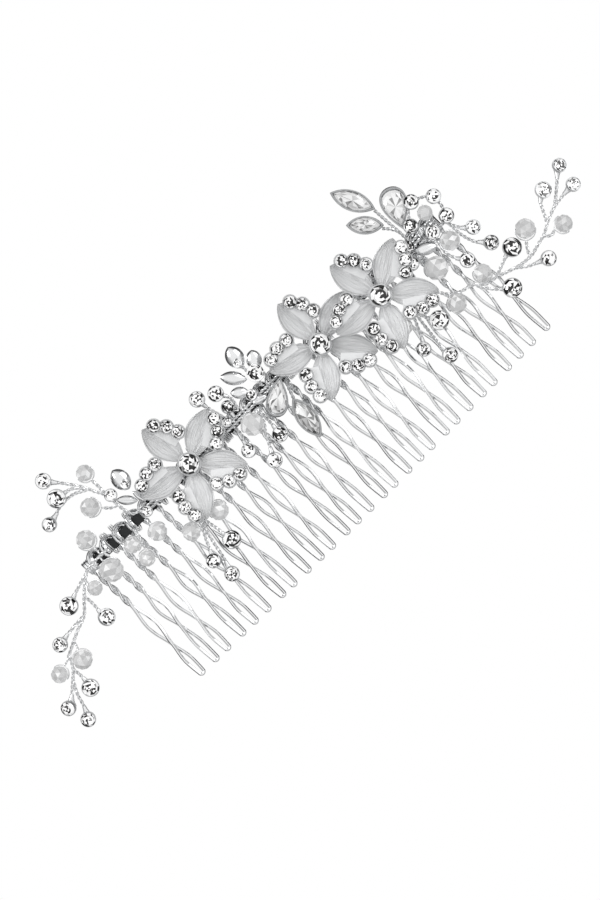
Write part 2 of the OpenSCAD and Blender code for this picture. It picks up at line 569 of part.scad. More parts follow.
module flower_left() group_at(bay_x(LEFT_FLOWER_BAY)) children();
module flower_left_petals() color("#dcdee0") flower_left() petals(LEFT_FLOWER);
module flower_left_centre_cup() color("#c4c6ca") flower_left() centre_cup(LEFT_FLOWER);
module flower_left_stones() color("#f2f6fa") flower_left() flower_stones(LEFT_FLOWER);
module flower_middle() group_at(bay_x(MIDDLE_FLOWER_BAY)) children();
module flower_middle_petals() color("#dcdee0") flower_middle() petals(MIDDLE_FLOWER);
module flower_middle_centre_cup() color("#c4c6ca") flower_middle() centre_cup(MIDDLE_FLOWER);
module flower_middle_stones() color("#f2f6fa") flower_middle() flower_stones(MIDDLE_FLOWER);
module flower_right() group_at(bay_x(RIGHT_FLOWER_BAY)) children();
module flower_right_petals() color("#dcdee0") flower_right() petals(RIGHT_FLOWER);
module flower_right_centre_cup() color("#c4c6ca") flower_right() centre_cup(RIGHT_FLOWER);
module flower_right_stones() color("#f2f6fa") flower_right() flower_stones(RIGHT_FLOWER);

// ---------------------------------------------------------------- sprigs and drops

module sprig_left_wires() color("#cfd2d6") group_at(left_end) {
    stems(LEFT_STEMS);
    for (b = concat(LEFT_BEADS, LEFT_BOUND_BEADS)) crystal_loop(b);
}
module sprig_left_cups() color("#c4c6ca") group_at(left_end) gem_cups(LEFT_GEMS);
module sprig_left_stones() color("#f2f6fa") group_at(left_end) gem_stones(LEFT_GEMS);

module sprig_upper_wires() color("#cfd2d6") group_at(bay_x(UPPER_BAY)) {
    stems(UPPER_STEMS);
    for (b = concat(UPPER_BEADS, UPPER_BOUND_BEADS)) crystal_loop(b);
}
module sprig_upper_cups() color("#c4c6ca") group_at(bay_x(UPPER_BAY)) gem_cups(UPPER_GEMS);
module sprig_upper_stones() color("#f2f6fa") group_at(bay_x(UPPER_BAY)) gem_stones(UPPER_GEMS);

module sprig_right_wires() color("#cfd2d6") group_at(right_end) {
    stems(RIGHT_STEMS);
    for (b = RIGHT_BEADS) crystal_loop(b);
}
module sprig_right_cups() color("#c4c6ca") group_at(right_end) gem_cups(RIGHT_GEMS);
module sprig_right_stones() color("#f2f6fa") group_at(right_end) gem_stones(RIGHT_GEMS);

module drop_wires() color("#cfd2d6") {
    group_at(bay_x(LEFT_FLOWER_BAY)) {
        stems(DROP_LEFT_STEMS);
        for (b = concat(DROP_LEFT_BEADS, DROP_LEFT_BOUND_BEADS)) crystal_loop(b);
    }
    group_at(bay_x(MIDDLE_BAY)) {
        stems(MIDDLE_STEMS);
        for (b = MIDDLE_BEADS) crystal_loop(b);
    }
    group_at(bay_x(PENDANT_BAY)) stems(PENDANT_STEMS);
    group_at(bay_x(RIGHT_FLOWER_BAY)) {
        stems(DROP_RIGHT_STEMS);
        for (b = DROP_RIGHT_BOUND_BEADS) crystal_loop(b);
    }
}
module drop_cups() color("#c4c6ca") {
    group_at(bay_x(LEFT_FLOWER_BAY)) gem_cups(DROP_LEFT_GEMS);
    group_at(bay_x(MIDDLE_BAY)) gem_cups(MIDDLE_GEMS);
    group_at(bay_x(RIGHT_FLOWER_BAY)) gem_cups(DROP_RIGHT_GEMS);
}
module drop_stones() color("#f2f6fa") {
    group_at(bay_x(LEFT_FLOWER_BAY)) gem_stones(DROP_LEFT_GEMS);
    group_at(bay_x(MIDDLE_BAY)) gem_stones(MIDDLE_GEMS);
    group_at(bay_x(RIGHT_FLOWER_BAY)) gem_stones(DROP_RIGHT_GEMS);
}

module spray_wires() color("#cfd2d6") group_at(right_end) {
    stems(SPRAY_STEMS);
    for (b = SPRAY_BEADS) crystal_loop(b);
}
module rosette_cups() color("#c4c6ca") group_at(right_end) gem_cups(ROSETTE_GEMS);
module rosette_stones() color("#f2f6fa") group_at(right_end) gem_stones(ROSETTE_GEMS);

// Cups that lie on the garland wires, and those of the lower spray
module on_garland(x, list) group_at(x) for (c = list)
    translate([c[0][0], c[0][1], garland_front + seat_gap]) {
        $cup_r = c[1];
        children();
    }
module each_garland_cup() {
    on_garland(bay_x(UPPER_BAY), GARLAND_CUPS_UPPER) children();
    on_garland(bay_x(MIDDLE_BAY), GARLAND_CUPS_MIDDLE) children();
    on_garland(right_end, GARLAND_CUPS_RIGHT) children();
}
module accent_cups() color("#c4c6ca") {
    each_garland_cup() cup($cup_r, cup_height, small_seat);
    group_at(right_end) gem_cups(SPRAY_GEMS);
}
module accent_stones() color("#f2f6fa") {
    each_garland_cup() stone($cup_r, cup_height, small_seat);
    group_at(right_end) gem_stones(SPRAY_GEMS);
}

// ---------------------------------------------------------------- large stones

module large_at(m) translate(m[0]) rotate([0, 0, m[3]]) children();
module marquise_setting(m) large_at(m) difference() {
    linear_extrude(setting_depth) pointed_oval(m[1], m[2]);
    translate([0, 0, setting_depth - large_seat]) linear_extrude(large_seat + 1)
        pointed_oval(m[1] - 4 * setting_wall, m[2] - 2 * setting_wall);
}
module marquise_stone(m) large_at(m) translate([0, 0, setting_depth - large_seat]) {
    linear_extrude(large_seat)
        pointed_oval(m[1] - 4 * setting_wall - 4 * cup_gap, m[2] - 2 * setting_wall - 2 * cup_gap);
    translate([0, 0, large_seat]) linear_extrude(0.5)
        pointed_oval(m[1] - 8 * setting_wall, m[2] - 4 * setting_wall);
}
module teardrop_setting(m) large_at(m) difference() {
    linear_extrude(setting_depth) teardrop_outline(m[1], m[2]);
    translate([-setting_wall / 2, 0, setting_depth - large_seat]) linear_extrude(large_seat + 1)
        teardrop_outline(m[1] - 3 * setting_wall, m[2] - 2 * setting_wall);
}
module teardrop_stone(m) large_at(m) translate([-setting_wall / 2, 0, setting_depth - large_seat]) {
    linear_extrude(large_seat)
        teardrop_outline(m[1] - 3 * setting_wall - 4 * cup_gap, m[2] - 2 * setting_wall - 2 * cup_gap);
    translate([-0.3, 0, large_seat]) linear_extrude(0.5)
        teardrop_outline(m[1] - 6 * setting_wall, m[2] - 4 * setting_wall);
}
module marquise_settings() color("#c4c6ca") {
    group_at(right_end) for (m = MARQUISES_UP) marquise_setting(m);
    group_at(bay_x(PENDANT_BAY)) marquise_setting(MARQUISE_LOW);
}
module marquise_stones() color("#eef3f8") {
    group_at(right_end) for (m = MARQUISES_UP) marquise_stone(m);
    group_at(bay_x(PENDANT_BAY)) marquise_stone(MARQUISE_LOW);
}
module teardrop_settings() color("#c4c6ca") {
    group_at(right_end) teardrop_setting(TEARDROP_UP);
    group_at(bay_x(PENDANT_BAY)) teardrop_setting(TEARDROP_LOW);
}
module teardrop_stones() color("#eef3f8") {
    group_at(right_end) teardrop_stone(TEARDROP_UP);
    group_at(bay_x(PENDANT_BAY)) teardrop_stone(TEARDROP_LOW);
}

// ---------------------------------------------------------------- leaves

module leaves_upper() color("#e6e8ea") group_at(bay_x(UPPER_BAY)) {
    for (l = UPPER_LEAVES) leaf(l);
    for (c = UPPER_LEAF_CUPS) leaf_cup(c);
}
module leaves_middle() color("#e6e8ea") group_at(bay_x(PENDANT_BAY)) {
    for (l = MIDDLE_LEAVES) leaf(l);
    for (c = MIDDLE_LEAF_CUPS) leaf_cup(c);
}
module leaves_right() color("#e6e8ea") group_at(right_end) for (l = RIGHT_LEAVES) leaf(l);
module leaf_stones() color("#f2f6fa") {
    group_at(bay_x(UPPER_BAY)) for (c = UPPER_LEAF_CUPS) leaf_stone(c);
    group_at(bay_x(PENDANT_BAY)) for (c = MIDDLE_LEAF_CUPS) leaf_stone(c);
}

// ---------------------------------------------------------------- crystals

// Crystals that are wired hard against the spine and can't turn
module bound_crystals() color("#dfe6ea") {
    group_at(left_end) for (b = LEFT_BOUND_BEADS) at_crystal(b) crystal_body(b[2]);
    group_at(bay_x(UPPER_BAY)) for (b = UPPER_BOUND_BEADS) at_crystal(b) crystal_body(b[2]);
    group_at(bay_x(LEFT_FLOWER_BAY)) for (b = DROP_LEFT_BOUND_BEADS) at_crystal(b) crystal_body(b[2]);
    group_at(bay_x(RIGHT_FLOWER_BAY)) for (b = DROP_RIGHT_BOUND_BEADS) at_crystal(b) crystal_body(b[2]);
}
// Crystals that turn freely on their wire, one node each
module crystal(b, x) color("#e4ecf0") group_at(x) at_crystal(b) crystal_body(b[2]);

spine_bar();
spine_loops();
tines_far_left();
tines_mid_left();
tines_mid_right();
tines_far_right();
garland_wires();
binding_wire();
flower_left_petals();
flower_left_centre_cup();
flower_left_stones();
flower_middle_petals();
flower_middle_centre_cup();
flower_middle_stones();
flower_right_petals();
flower_right_centre_cup();
flower_right_stones();
sprig_left_wires();
sprig_left_cups();
sprig_left_stones();
sprig_upper_wires();
sprig_upper_cups();
sprig_upper_stones();
sprig_right_wires();
sprig_right_cups();
sprig_right_stones();
drop_wires();
drop_cups();
drop_stones();
spray_wires();
rosette_cups();
rosette_stones();
accent_cups();
accent_stones();
marquise_settings();
marquise_stones();
teardrop_settings();
teardrop_stones();
leaves_upper();
leaves_middle();
leaves_right();
leaf_stones();
bound_crystals();
for (b = LEFT_BEADS) crystal(b, left_end);
for (b = UPPER_BEADS) crystal(b, bay_x(UPPER_BAY));
for (b = DROP_LEFT_BEADS) crystal(b, bay_x(LEFT_FLOWER_BAY));
for (b = MIDDLE_BEADS) crystal(b, bay_x(MIDDLE_BAY));
for (b = RIGHT_BEADS) crystal(b, right_end);
for (b = SPRAY_BEADS) crystal(b, right_end);
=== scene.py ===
import math
import random

import bmesh
import bpy
from mathutils import Matrix, Vector


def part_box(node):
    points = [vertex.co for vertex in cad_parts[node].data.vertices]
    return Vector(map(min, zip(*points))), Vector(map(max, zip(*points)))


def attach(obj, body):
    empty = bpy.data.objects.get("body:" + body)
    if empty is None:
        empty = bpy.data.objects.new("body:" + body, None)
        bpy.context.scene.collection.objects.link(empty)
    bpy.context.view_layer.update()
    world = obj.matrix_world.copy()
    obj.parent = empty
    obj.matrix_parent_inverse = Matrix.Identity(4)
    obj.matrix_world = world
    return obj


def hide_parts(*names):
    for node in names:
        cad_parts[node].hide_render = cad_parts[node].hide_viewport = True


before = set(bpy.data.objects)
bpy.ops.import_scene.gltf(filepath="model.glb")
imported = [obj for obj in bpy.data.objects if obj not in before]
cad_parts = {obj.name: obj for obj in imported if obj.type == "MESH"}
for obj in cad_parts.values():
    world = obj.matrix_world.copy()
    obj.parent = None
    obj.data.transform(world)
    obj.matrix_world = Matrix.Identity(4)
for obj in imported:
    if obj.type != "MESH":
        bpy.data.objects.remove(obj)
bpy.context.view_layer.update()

# ---- The tines: pins of silver-plated steel wire. Each is one wire bent double: its two
# strands are twisted together under the spine, open into an eye, cross, and close in a
# narrow rounded loop that slides into the hair.
MM = 0.001
TINE_COUNT = 28
TINE_PITCH = 4.1
TINE_LENGTH = 34.6
TWIST_LENGTH = 11.7
HALF_TURNS = 3.5
COMB_WIRE_R = 0.41
STRAND_OFFSET = 0.4
EYE_HALF = 1.05
LOOP_HALF = 0.6
BAR_BOTTOM = -1.3
TINE_GROUPS = ["tines_far_left", "tines_mid_left", "tines_mid_right", "tines_far_right"]


class Value:
    """A number in a material. Arithmetic on it adds Math nodes."""

    def __init__(self, finish, socket):
        self.finish = finish
        self.socket = socket

    def math(self, operation, first, second):
        return self.finish.node("Math", {"operation": operation}, {0: first, 1: second})

    def __add__(self, other):
        return self.math("ADD", self, other)

    def __sub__(self, other):
        return self.math("SUBTRACT", self, other)

    def __rsub__(self, other):
        return self.math("SUBTRACT", other, self)

    def __mul__(self, other):
        return self.math("MULTIPLY", self, other)

    __radd__ = __add__
    __rmul__ = __mul__


class Finish:
    """One material: its shader, and the nodes that vary it over the surface."""

    def __init__(self, name, **constants):
        self.material = bpy.data.materials.new(name)
        self.material.use_nodes = True
        self.tree = self.material.node_tree
        self.shader = self.tree.nodes["Principled BSDF"]
        self.set(**constants)

    def set(self, **inputs):
        for key, value in inputs.items():
            self.feed(self.shader.inputs[key.replace("_", " ")], value)

    def feed(self, socket, value):
        if isinstance(value, Value):
            self.tree.links.new(value.socket, socket)
        else:
            socket.default_value = value

    def node(self, kind, settings=None, inputs=None, output=0):
        made = self.tree.nodes.new("ShaderNode" + kind)
        for key, value in (settings or {}).items():
            if key == "stops":
                for spare in range(len(value) - 2):
                    made.color_ramp.elements.new(0.5)
                for stop, (at, grey) in zip(made.color_ramp.elements, value):
                    stop.position = at
                    stop.color = (grey, grey, grey, 1)
            else:
                setattr(made, key, value)
        for key, value in (inputs or {}).items():
            self.feed(made.inputs[key], value)
        return Value(self, made.outputs[output])

    def noise(self, scale, detail=3.0, stretch=(1, 1, 1)):
        place_in = self.node("TexCoord", output="Object")
        scaled = self.node("Mapping", None, {"Vector": place_in, "Scale": stretch})
        return self.node("TexNoise", None, {"Vector": scaled, "Scale": scale, "Detail": detail})

    def mix(self, factor, a, b):
        return self.node("Mix", {"data_type": "RGBA"}, {0: factor, 6: a, 7: b}, output=2)

    def bump(self, height, strength, distance):
        inputs = {"Height": height, "Strength": strength, "Distance": distance}
        return self.node("Bump", None, inputs)


def grey(level, tint=0.006):
    return (level - tint, level, level + tint, 1)


def place(x, up, out):
    """A point given in millimetres along the spine, upwards and out to the front."""
    return Vector((x, -out, up)) * MM


def tube(paths, radius, resolution=2):
    """Round wires along lists of points, as one bmesh."""
    curve = bpy.data.curves.new("wire", "CURVE")
    curve.dimensions = "3D"
    curve.bevel_depth = radius * MM
    curve.bevel_resolution = resolution
    curve.use_fill_caps = True
    for path in paths:
        spline = curve.splines.new("POLY")
        spline.points.add(len(path) - 1)
        for point, at in zip(spline.points, path):
            point.co = (*at, 1)
    drawn = bpy.data.objects.new("wire", curve)
    bpy.context.scene.collection.objects.link(drawn)
    mesh = bpy.data.meshes.new_from_object(drawn)
    bpy.data.objects.remove(drawn)
    made = bmesh.new()
    made.from_mesh(mesh)
    bpy.data.meshes.remove(mesh)
    return made


def solid(name, bm, finish, crease=35):
    """Makes a bmesh an object at the origin, with merged doubles and outward normals."""
    bmesh.ops.remove_doubles(bm, verts=bm.verts, dist=2e-7)
    bmesh.ops.recalc_face_normals(bm, faces=bm.faces)
    for face in bm.faces:
        face.smooth = crease > 0
    for edge in bm.edges:
        edge.smooth = edge.calc_face_angle(0) < math.radians(crease)
    mesh = bpy.data.meshes.new(name)
    bm.to_mesh(mesh)
    bm.free()
    mesh.materials.append(finish.material)
    made = bpy.data.objects.new(name, mesh)
    bpy.context.scene.collection.objects.link(made)
    return made


def merge(into, other, matrix=None):
    """Adds a bmesh to another one, moved by a matrix, and frees it."""
    if matrix is not None:
        bmesh.ops.transform(other, matrix=matrix, verts=other.verts)
    part = bpy.data.meshes.new("part")
    other.to_mesh(part)
    other.free()
    into.from_mesh(part)
    bpy.data.meshes.remove(part)


def tine_x(i):
    return (i - (TINE_COUNT - 1) / 2) * TINE_PITCH


def bay_x(i):
    return tine_x(i) + TINE_PITCH / 2


def tine_strand(i, side):
    """One of a tine's two strands, from the bar to the start of its rounded tip."""
    turn = 360 * i / (TINE_COUNT - 1)
    lean = 1.2 + 0.5 * math.sin(math.radians(turn - 20))
    lean += 0.35 * math.sin(math.radians(137 * i))
    full = TINE_LENGTH + 0.8 * math.sin(math.radians(turn / 2))
    neck = BAR_BOTTOM - TWIST_LENGTH
    crossing = neck - (13.2 if i % 2 == 0 else 11.2)
    tip = BAR_BOTTOM - full + LOOP_HALF + COMB_WIRE_R
    path = []

    def add(up, half, degrees):
        angle = math.radians(degrees)
        x = tine_x(i) + lean * (BAR_BOTTOM - up) / full
        out = side * STRAND_OFFSET * math.sin(angle)
        path.append(place(x + side * half * math.cos(angle), up, out))

    for k in range(40):
        add(BAR_BOTTOM - TWIST_LENGTH * k / 40, STRAND_OFFSET, 180 * HALF_TURNS * k / 40)
    for k in range(26):
        q = k / 26
        half = STRAND_OFFSET + (EYE_HALF - STRAND_OFFSET) * math.sin(math.pi * q)
        add(neck + (crossing - neck) * q, half, 180 * HALF_TURNS + 180 * q)
    for k in range(13):
        q = k / 12
        half = LOOP_HALF + 0.24 * math.sin(math.pi * q)
        add(crossing + (tip - crossing) * q, half, 180 * HALF_TURNS + 180 + 90 * min(1, 1.6 * q))
    return path


def tine_path(i):
    left, right = tine_strand(i, 1), tine_strand(i, -1)
    middle = (left[-1] + right[-1]) / 2
    side = left[-1] - middle
    down = Vector((0, 0, -LOOP_HALF * MM))
    angles = [math.pi * k / 9 for k in range(1, 9)]
    bend = [middle + math.cos(a) * side + math.sin(a) * down for a in angles]
    return left + bend + right[::-1]


comb_wire = Finish("plated comb wire", Metallic=1.0)
wear = comb_wire.noise(700, detail=4.0)
comb_wire.set(
    Base_Color=comb_wire.mix(wear, grey(0.8), grey(0.95)),
    Roughness=wear * 0.16 + 0.05,
    Normal=comb_wire.bump(comb_wire.noise(2600), 0.15, 0.00004),
)
for k, node in enumerate(TINE_GROUPS):
    first = k * TINE_COUNT // 4
    paths = [tine_path(i) for i in range(first, first + TINE_COUNT // 4)]
    tines = solid(node + "_wires", tube(paths, COMB_WIRE_R, resolution=3), comb_wire)
    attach(tines, "root")
    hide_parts(node)

# ---- The spine: a flat strip that the tines hang from, painted near black as painted shade,
# with a rib along both edges, wrapped between every two tines by two turns of the comb wire,
# and closely coiled at both ends.
RIB = 0.12
RIB_WIDTH = 0.3
EDGE_ROUNDING = 0.05
OUTER_LOOP_R = 2.4
INNER_LOOP_R = 1.6
LOOP_UP = -0.05
LOOP_SHIFT = 2.55
LOOP_ARC = range(-35, 216, 10)
OUTER_SLANT = math.radians(24)
INNER_SLANT = math.radians(45)
END_COILS = ((-56.3, 4), (50.6, 9))
COIL_PITCH = 0.62
COIL_HALF = (1.5, 0.75)

# Painted shade: the strip's base colour is near black and mottled by a noise, standing in for the
# shade behind the wrapping.
spine_painted_shade = Finish("darkened spine strip", Metallic=0.4)
strip_shade_mottle = spine_painted_shade.noise(900)
spine_painted_shade.set(
    Base_Color=spine_painted_shade.mix(strip_shade_mottle, grey(0.012, 0.001), grey(0.03, 0.002)),
    Roughness=strip_shade_mottle * 0.2 + 0.25,
)

low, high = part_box("spine_bar")
bar = bmesh.new()
bmesh.ops.create_cube(bar, size=1.0)
bmesh.ops.scale(bar, vec=high - low, verts=bar.verts)
bmesh.ops.translate(bar, vec=(low + high) / 2, verts=bar.verts)
front = [face for face in bar.faces if face.normal.y < -0.5]
bmesh.ops.inset_region(bar, faces=front, thickness=RIB_WIDTH * MM)
bmesh.ops.translate(bar, vec=(0, RIB * MM, 0), verts=front[0].verts)
bmesh.ops.bevel(bar, geom=bar.edges, offset=EDGE_ROUNDING * MM, affect="EDGES", segments=2,
                profile=0.5, material=-1)
spine_bar = solid("spine_strip", bar, spine_painted_shade)
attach(spine_bar, "root")
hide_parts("spine_bar")


def bar_loop(i, radius, turn):
    points = []
    for angle in LOOP_ARC:
        reach = radius * math.cos(math.radians(angle))
        up = LOOP_UP + radius * math.sin(math.radians(angle))
        x = tine_x(i) + LOOP_SHIFT + reach * math.cos(turn)
        points.append((x, up, -reach * math.sin(turn)))
    return [place(*p) for p in points]


loops = [bar_loop(i, OUTER_LOOP_R, OUTER_SLANT) for i in range(TINE_COUNT - 1)]
loops += [bar_loop(i, INNER_LOOP_R, INNER_SLANT) for i in range(TINE_COUNT - 1)]
for start, turns in END_COILS:
    coil = []
    for k in range(20 * turns + 1):
        angle = math.pi * k / 10
        coil.append(place(start + COIL_PITCH * k / 20, LOOP_UP + COIL_HALF[0] * math.cos(angle),
                          COIL_HALF[1] * math.sin(angle)))
    loops.append(coil)
spine_loops = solid("spine_wrapping", tube(loops, COMB_WIRE_R, resolution=3), comb_wire)
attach(spine_loops, "root")
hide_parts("spine_loops")

# ---- The garland: two twisted cords of fine silver wire along the front of the spine. The
# sprigs are twisted into them.
STRAND_R = 0.21
TWIST_PITCH = 2.1
CORD_SPACING = 0.9


def smooth_path(points, step=0.2):
    """Points every step millimetres along a smooth line through the given ones."""
    ends = [points[0] * 2 - points[1]] + points + [points[-1] * 2 - points[-2]]
    path = []
    for a, b, c, d in zip(ends, ends[1:], ends[2:], ends[3:]):
        count = max(2, round((c - b).length / (step * MM)))
        for k in range(count):
            t = k / count
            path.append(0.5 * (2 * b + (c - a) * t + (2 * a - 5 * b + 4 * c - d) * t * t
                               + (3 * b - a - 3 * c + d) * t ** 3))
    return path + [points[-1]]


def twisted_pair(points, strand=STRAND_R, pitch=TWIST_PITCH, step=0.2):
    """The two strands of a twisted wire that follows the points."""
    path = smooth_path(points, step)
    side = (path[1] - path[0]).orthogonal().normalized()
    run = 0.0
    strands = [[], []]
    for k, at in enumerate(path):
        ahead = (path[min(k + 1, len(path) - 1)] - path[max(k - 1, 0)]).normalized()
        side = (side - ahead * side.dot(ahead)).normalized()
        if k:
            run += (at - path[k - 1]).length
        angle = 2 * math.pi * run / (pitch * MM)
        offset = (side * math.cos(angle) + ahead.cross(side) * math.sin(angle)) * strand * MM
        strands[0].append(at + offset)
        strands[1].append(at - offset)
    return strands


stem_wire = Finish("twisted stem wire", Metallic=0.8)
rub = stem_wire.noise(1200, detail=4.0)
stem_wire.set(
    Base_Color=stem_wire.mix(rub, grey(0.8), grey(0.98)),
    Roughness=rub * 0.2 + 0.2,
    Normal=stem_wire.bump(stem_wire.noise(5000), 0.2, 0.00003),
)
low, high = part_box("garland_wires")
middle_up = (low.z + high.z) / 2 / MM
out = -(low.y + high.y) / 2 / MM
garland_paths = []
for up in (middle_up + CORD_SPACING / 2, middle_up - CORD_SPACING / 2):
    ends = [place(low.x / MM, up, out), place(high.x / MM, up, out)]
    garland_paths += twisted_pair(ends, step=0.25)
garland = solid("garland_cords", tube(garland_paths, STRAND_R), stem_wire)
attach(garland, "root")
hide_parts("garland_wires")

# ---- The binding: very fine silver wire wound round the spine and the garland wherever a
# sprig or a flower is tied on, in close, slightly uneven turns.
BINDINGS = [-48.4, -45.7, -41.3, -32.8, -28.7, -20.5, -16.4, -12.3,
            8.2, 12.3, 20.5, 24.6, 28.7, 36.2, 41.8]
LONG_WINDINGS = [-16.4, -12.3, 8.2]
BINDING_R = 0.15
WINDING_R = 3
WINDING_MIDDLE = (0.5, 0.3)
binding_random = random.Random(7)


def winding(middle, turns, pitch=0.42):
    points = []
    steps = 26
    wobble = [binding_random.uniform(-0.16, 0.05) for turn in range(turns + 1)]
    slant = binding_random.uniform(-0.5, 0.5)
    for k in range(turns * steps + 1):
        turn, angle = k / steps, 2 * math.pi * k / steps
        radius = WINDING_R + wobble[int(turn)]
        x = middle + pitch * (turn - turns / 2) + slant * math.sin(angle)
        points.append(place(x, WINDING_MIDDLE[0] + radius * math.cos(angle),
                            WINDING_MIDDLE[1] + radius * math.sin(angle)))
    return points


windings = [winding(x, 5 if x in LONG_WINDINGS else 2) for x in BINDINGS]
binding_wire = Finish("fine binding wire", Metallic=1.0)
haze = binding_wire.noise(1500)
binding_wire.set(
    Base_Color=binding_wire.mix(haze, grey(0.6), grey(0.85)),
    Roughness=haze * 0.2 + 0.12,
)
binding = solid("binding_windings", tube(windings, BINDING_R, resolution=1), binding_wire)
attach(binding, "root")
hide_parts("binding_wire")

# ---- The three flowers: silver-plated castings of five cupped petals on a short tie post.
# Each petal is brushed along its length between narrow polished edges, and carries three
# cups along one side.
PETALS = 5
PETAL_FROM = 1.4
PETAL_TIP = 13.2
PETAL_WIDTH = 6.6
PETAL_SKEW = 10
PETAL_THICK = 0.55
DISH_RADIUS = 45
FLOWERS = {
    "left": (bay_x(7), (1.8, 0.4, 4), 89, (0, 0)),
    "middle": (bay_x(17), (1, -1.4, 4), 82, (0, 0)),
    "right": (bay_x(21), (1.8, -3.3, 7.2), 95, (-1, 2.7)),
}
PETAL_CUPS = [(11.7, -1), (9.85, -12.5), (7.7, -25)]
CUP_LEDGE = [(5, -0.5), (5.5, -2.8), (6.6, -4.0), (7.8, -4), (10.2, -2.9), (12, -1.4),
             (12.6, -0.2), (12, 0.8), (10, 1)]
LEDGE_THICK = 0.4
CUP_R = 1.58
CUP_TOP = 1.1
POST_R = 1.3
POST_END = 2.65
TO_FRONT = Matrix(((1, 0, 0, 0), (0, 0, -1, 0), (0, 1, 0, 0), (0, 0, 0, 1)))


def dish(radius):
    return DISH_RADIUS - math.sqrt(DISH_RADIUS ** 2 - radius ** 2)


def petal(turn, seed):
    """A cupped petal as a thin solid, pointing along X before its turn."""
    draw = random.Random(seed)
    curl, lift = draw.uniform(0.2, 0.4), draw.uniform(-0.1, 0.35)
    made = bmesh.new()
    bmesh.ops.create_grid(made, x_segments=30, y_segments=22, size=1.0)
    along = made.verts.layers.float.new("along")
    across = made.verts.layers.float.new("across")
    for vert in made.verts:
        t, side = (vert.co.x + 1) / 2, vert.co.y
        vert[along], vert[across] = t, side
        half = PETAL_WIDTH / 2 * max(math.sin(math.pi * t ** 1.05), 0) ** 0.75
        radius = PETAL_FROM + (PETAL_TIP - PETAL_FROM) * t
        rise = dish(radius) + curl * side * side * math.sin(math.pi * t) ** 0.5 + lift * t * t
        groove = 0.03 * math.exp(-(side / 0.1) ** 2) * math.sin(math.pi * t)
        rim = 0.1 * max(0, abs(side) - 0.86) / 0.14
        vert.co = (radius, side * half, rise - groove + rim + 0.15)
    bmesh.ops.remove_doubles(made, verts=made.verts, dist=1e-4)
    back = bmesh.ops.extrude_face_region(made, geom=made.faces[:])["geom"]
    back = [part for part in back if isinstance(part, bmesh.types.BMVert)]
    bmesh.ops.translate(made, vec=(0, 0, -PETAL_THICK), verts=back)
    spun = Matrix.Rotation(math.radians(turn), 3, "Z")
    bmesh.ops.rotate(made, cent=(0, 0, 0), matrix=spun, verts=made.verts)
    return made


def turned(profile, steps=28):
    """A turned shape about Z from its (radius, height) profile."""
    made = bmesh.new()
    verts = [made.verts.new((radius, 0, height)) for radius, height in profile]
    edges = [made.edges.new(pair) for pair in zip(verts, verts[1:])]
    bmesh.ops.spin(made, geom=verts + edges, cent=(0, 0, 0), axis=(0, 0, 1), angle=2 * math.pi,
                   steps=steps, use_merge=True)
    return made


def bezel(radius, height, wall=0.2, seat=0.5):
    """A stone's cup: a rounded wall with a thin edge turned in over the stone."""
    return turned([
        (0, 0), (0.86 * radius, 0), (0.97 * radius, 0.2 * height), (radius, 0.6 * height),
        (radius - 0.3 * wall, height), (radius - 0.8 * wall, height),
        (radius - wall, 0.95 * height), (radius - 1.05 * wall, height - seat), (0, height - seat),
    ])


def flower_at(spec):
    """From a flower's own millimetres, with Z out to the front, to the object's frame."""
    x, middle = spec[:2]
    at = Matrix.Translation((x + middle[0], middle[1], middle[2]))
    return Matrix.Scale(MM, 4) @ TO_FRONT @ at


satin = Finish("satin plated petals", Metallic=0.4)
length_way = satin.node("Attribute", {"attribute_name": "along"}, output="Fac")
cross_way = satin.node("Attribute", {"attribute_name": "across"}, output="Fac")
brush_at = satin.node("CombineXYZ", None, {"X": length_way * 1.6, "Y": cross_way * 26, "Z": 0.0})
brushing = satin.node("TexNoise", None, {"Vector": brush_at, "Scale": 1.0, "Detail": 1.0,
                                         "Roughness": 0.6})
brushing = (brushing - 0.5) * 1.9 + 0.5
edge = satin.node("Math", {"operation": "ABSOLUTE"}, {0: cross_way})
# Painted shadow: a dark line just inside each petal's polished edge.
edge_shade = satin.node("MapRange", None, {"Value": edge, "From Min": 0.78, "From Max": 0.88})
edge = satin.node("MapRange", None, {"Value": edge, "From Min": 0.88, "From Max": 0.94})
cloud = satin.noise(260)
brushed = satin.mix(brushing * 0.8 + cloud * 0.2, grey(0.76), grey(1.0))
shaded = satin.mix(edge_shade * 0.45, brushed, grey(0.25))
satin.set(
    Base_Color=satin.mix(edge, shaded, grey(0.9)),
    Roughness=(1 - edge) * 0.25 + brushing * 0.14 + 0.2,
    Normal=satin.bump(brushing, 0.9, 0.00015),
)
# Painted shade: the base colour is held dark, 0.3 to 0.55 and mottled, so the cups' and trays' rims
# read as dark outlines.
cup_silver = Finish("polished cups", Metallic=1.0)
cup_shade_mottle = cup_silver.noise(1400)
cup_silver.set(
    Base_Color=cup_silver.mix(cup_shade_mottle, grey(0.3), grey(0.55)),
    Roughness=cup_shade_mottle * 0.2 + 0.1,
)
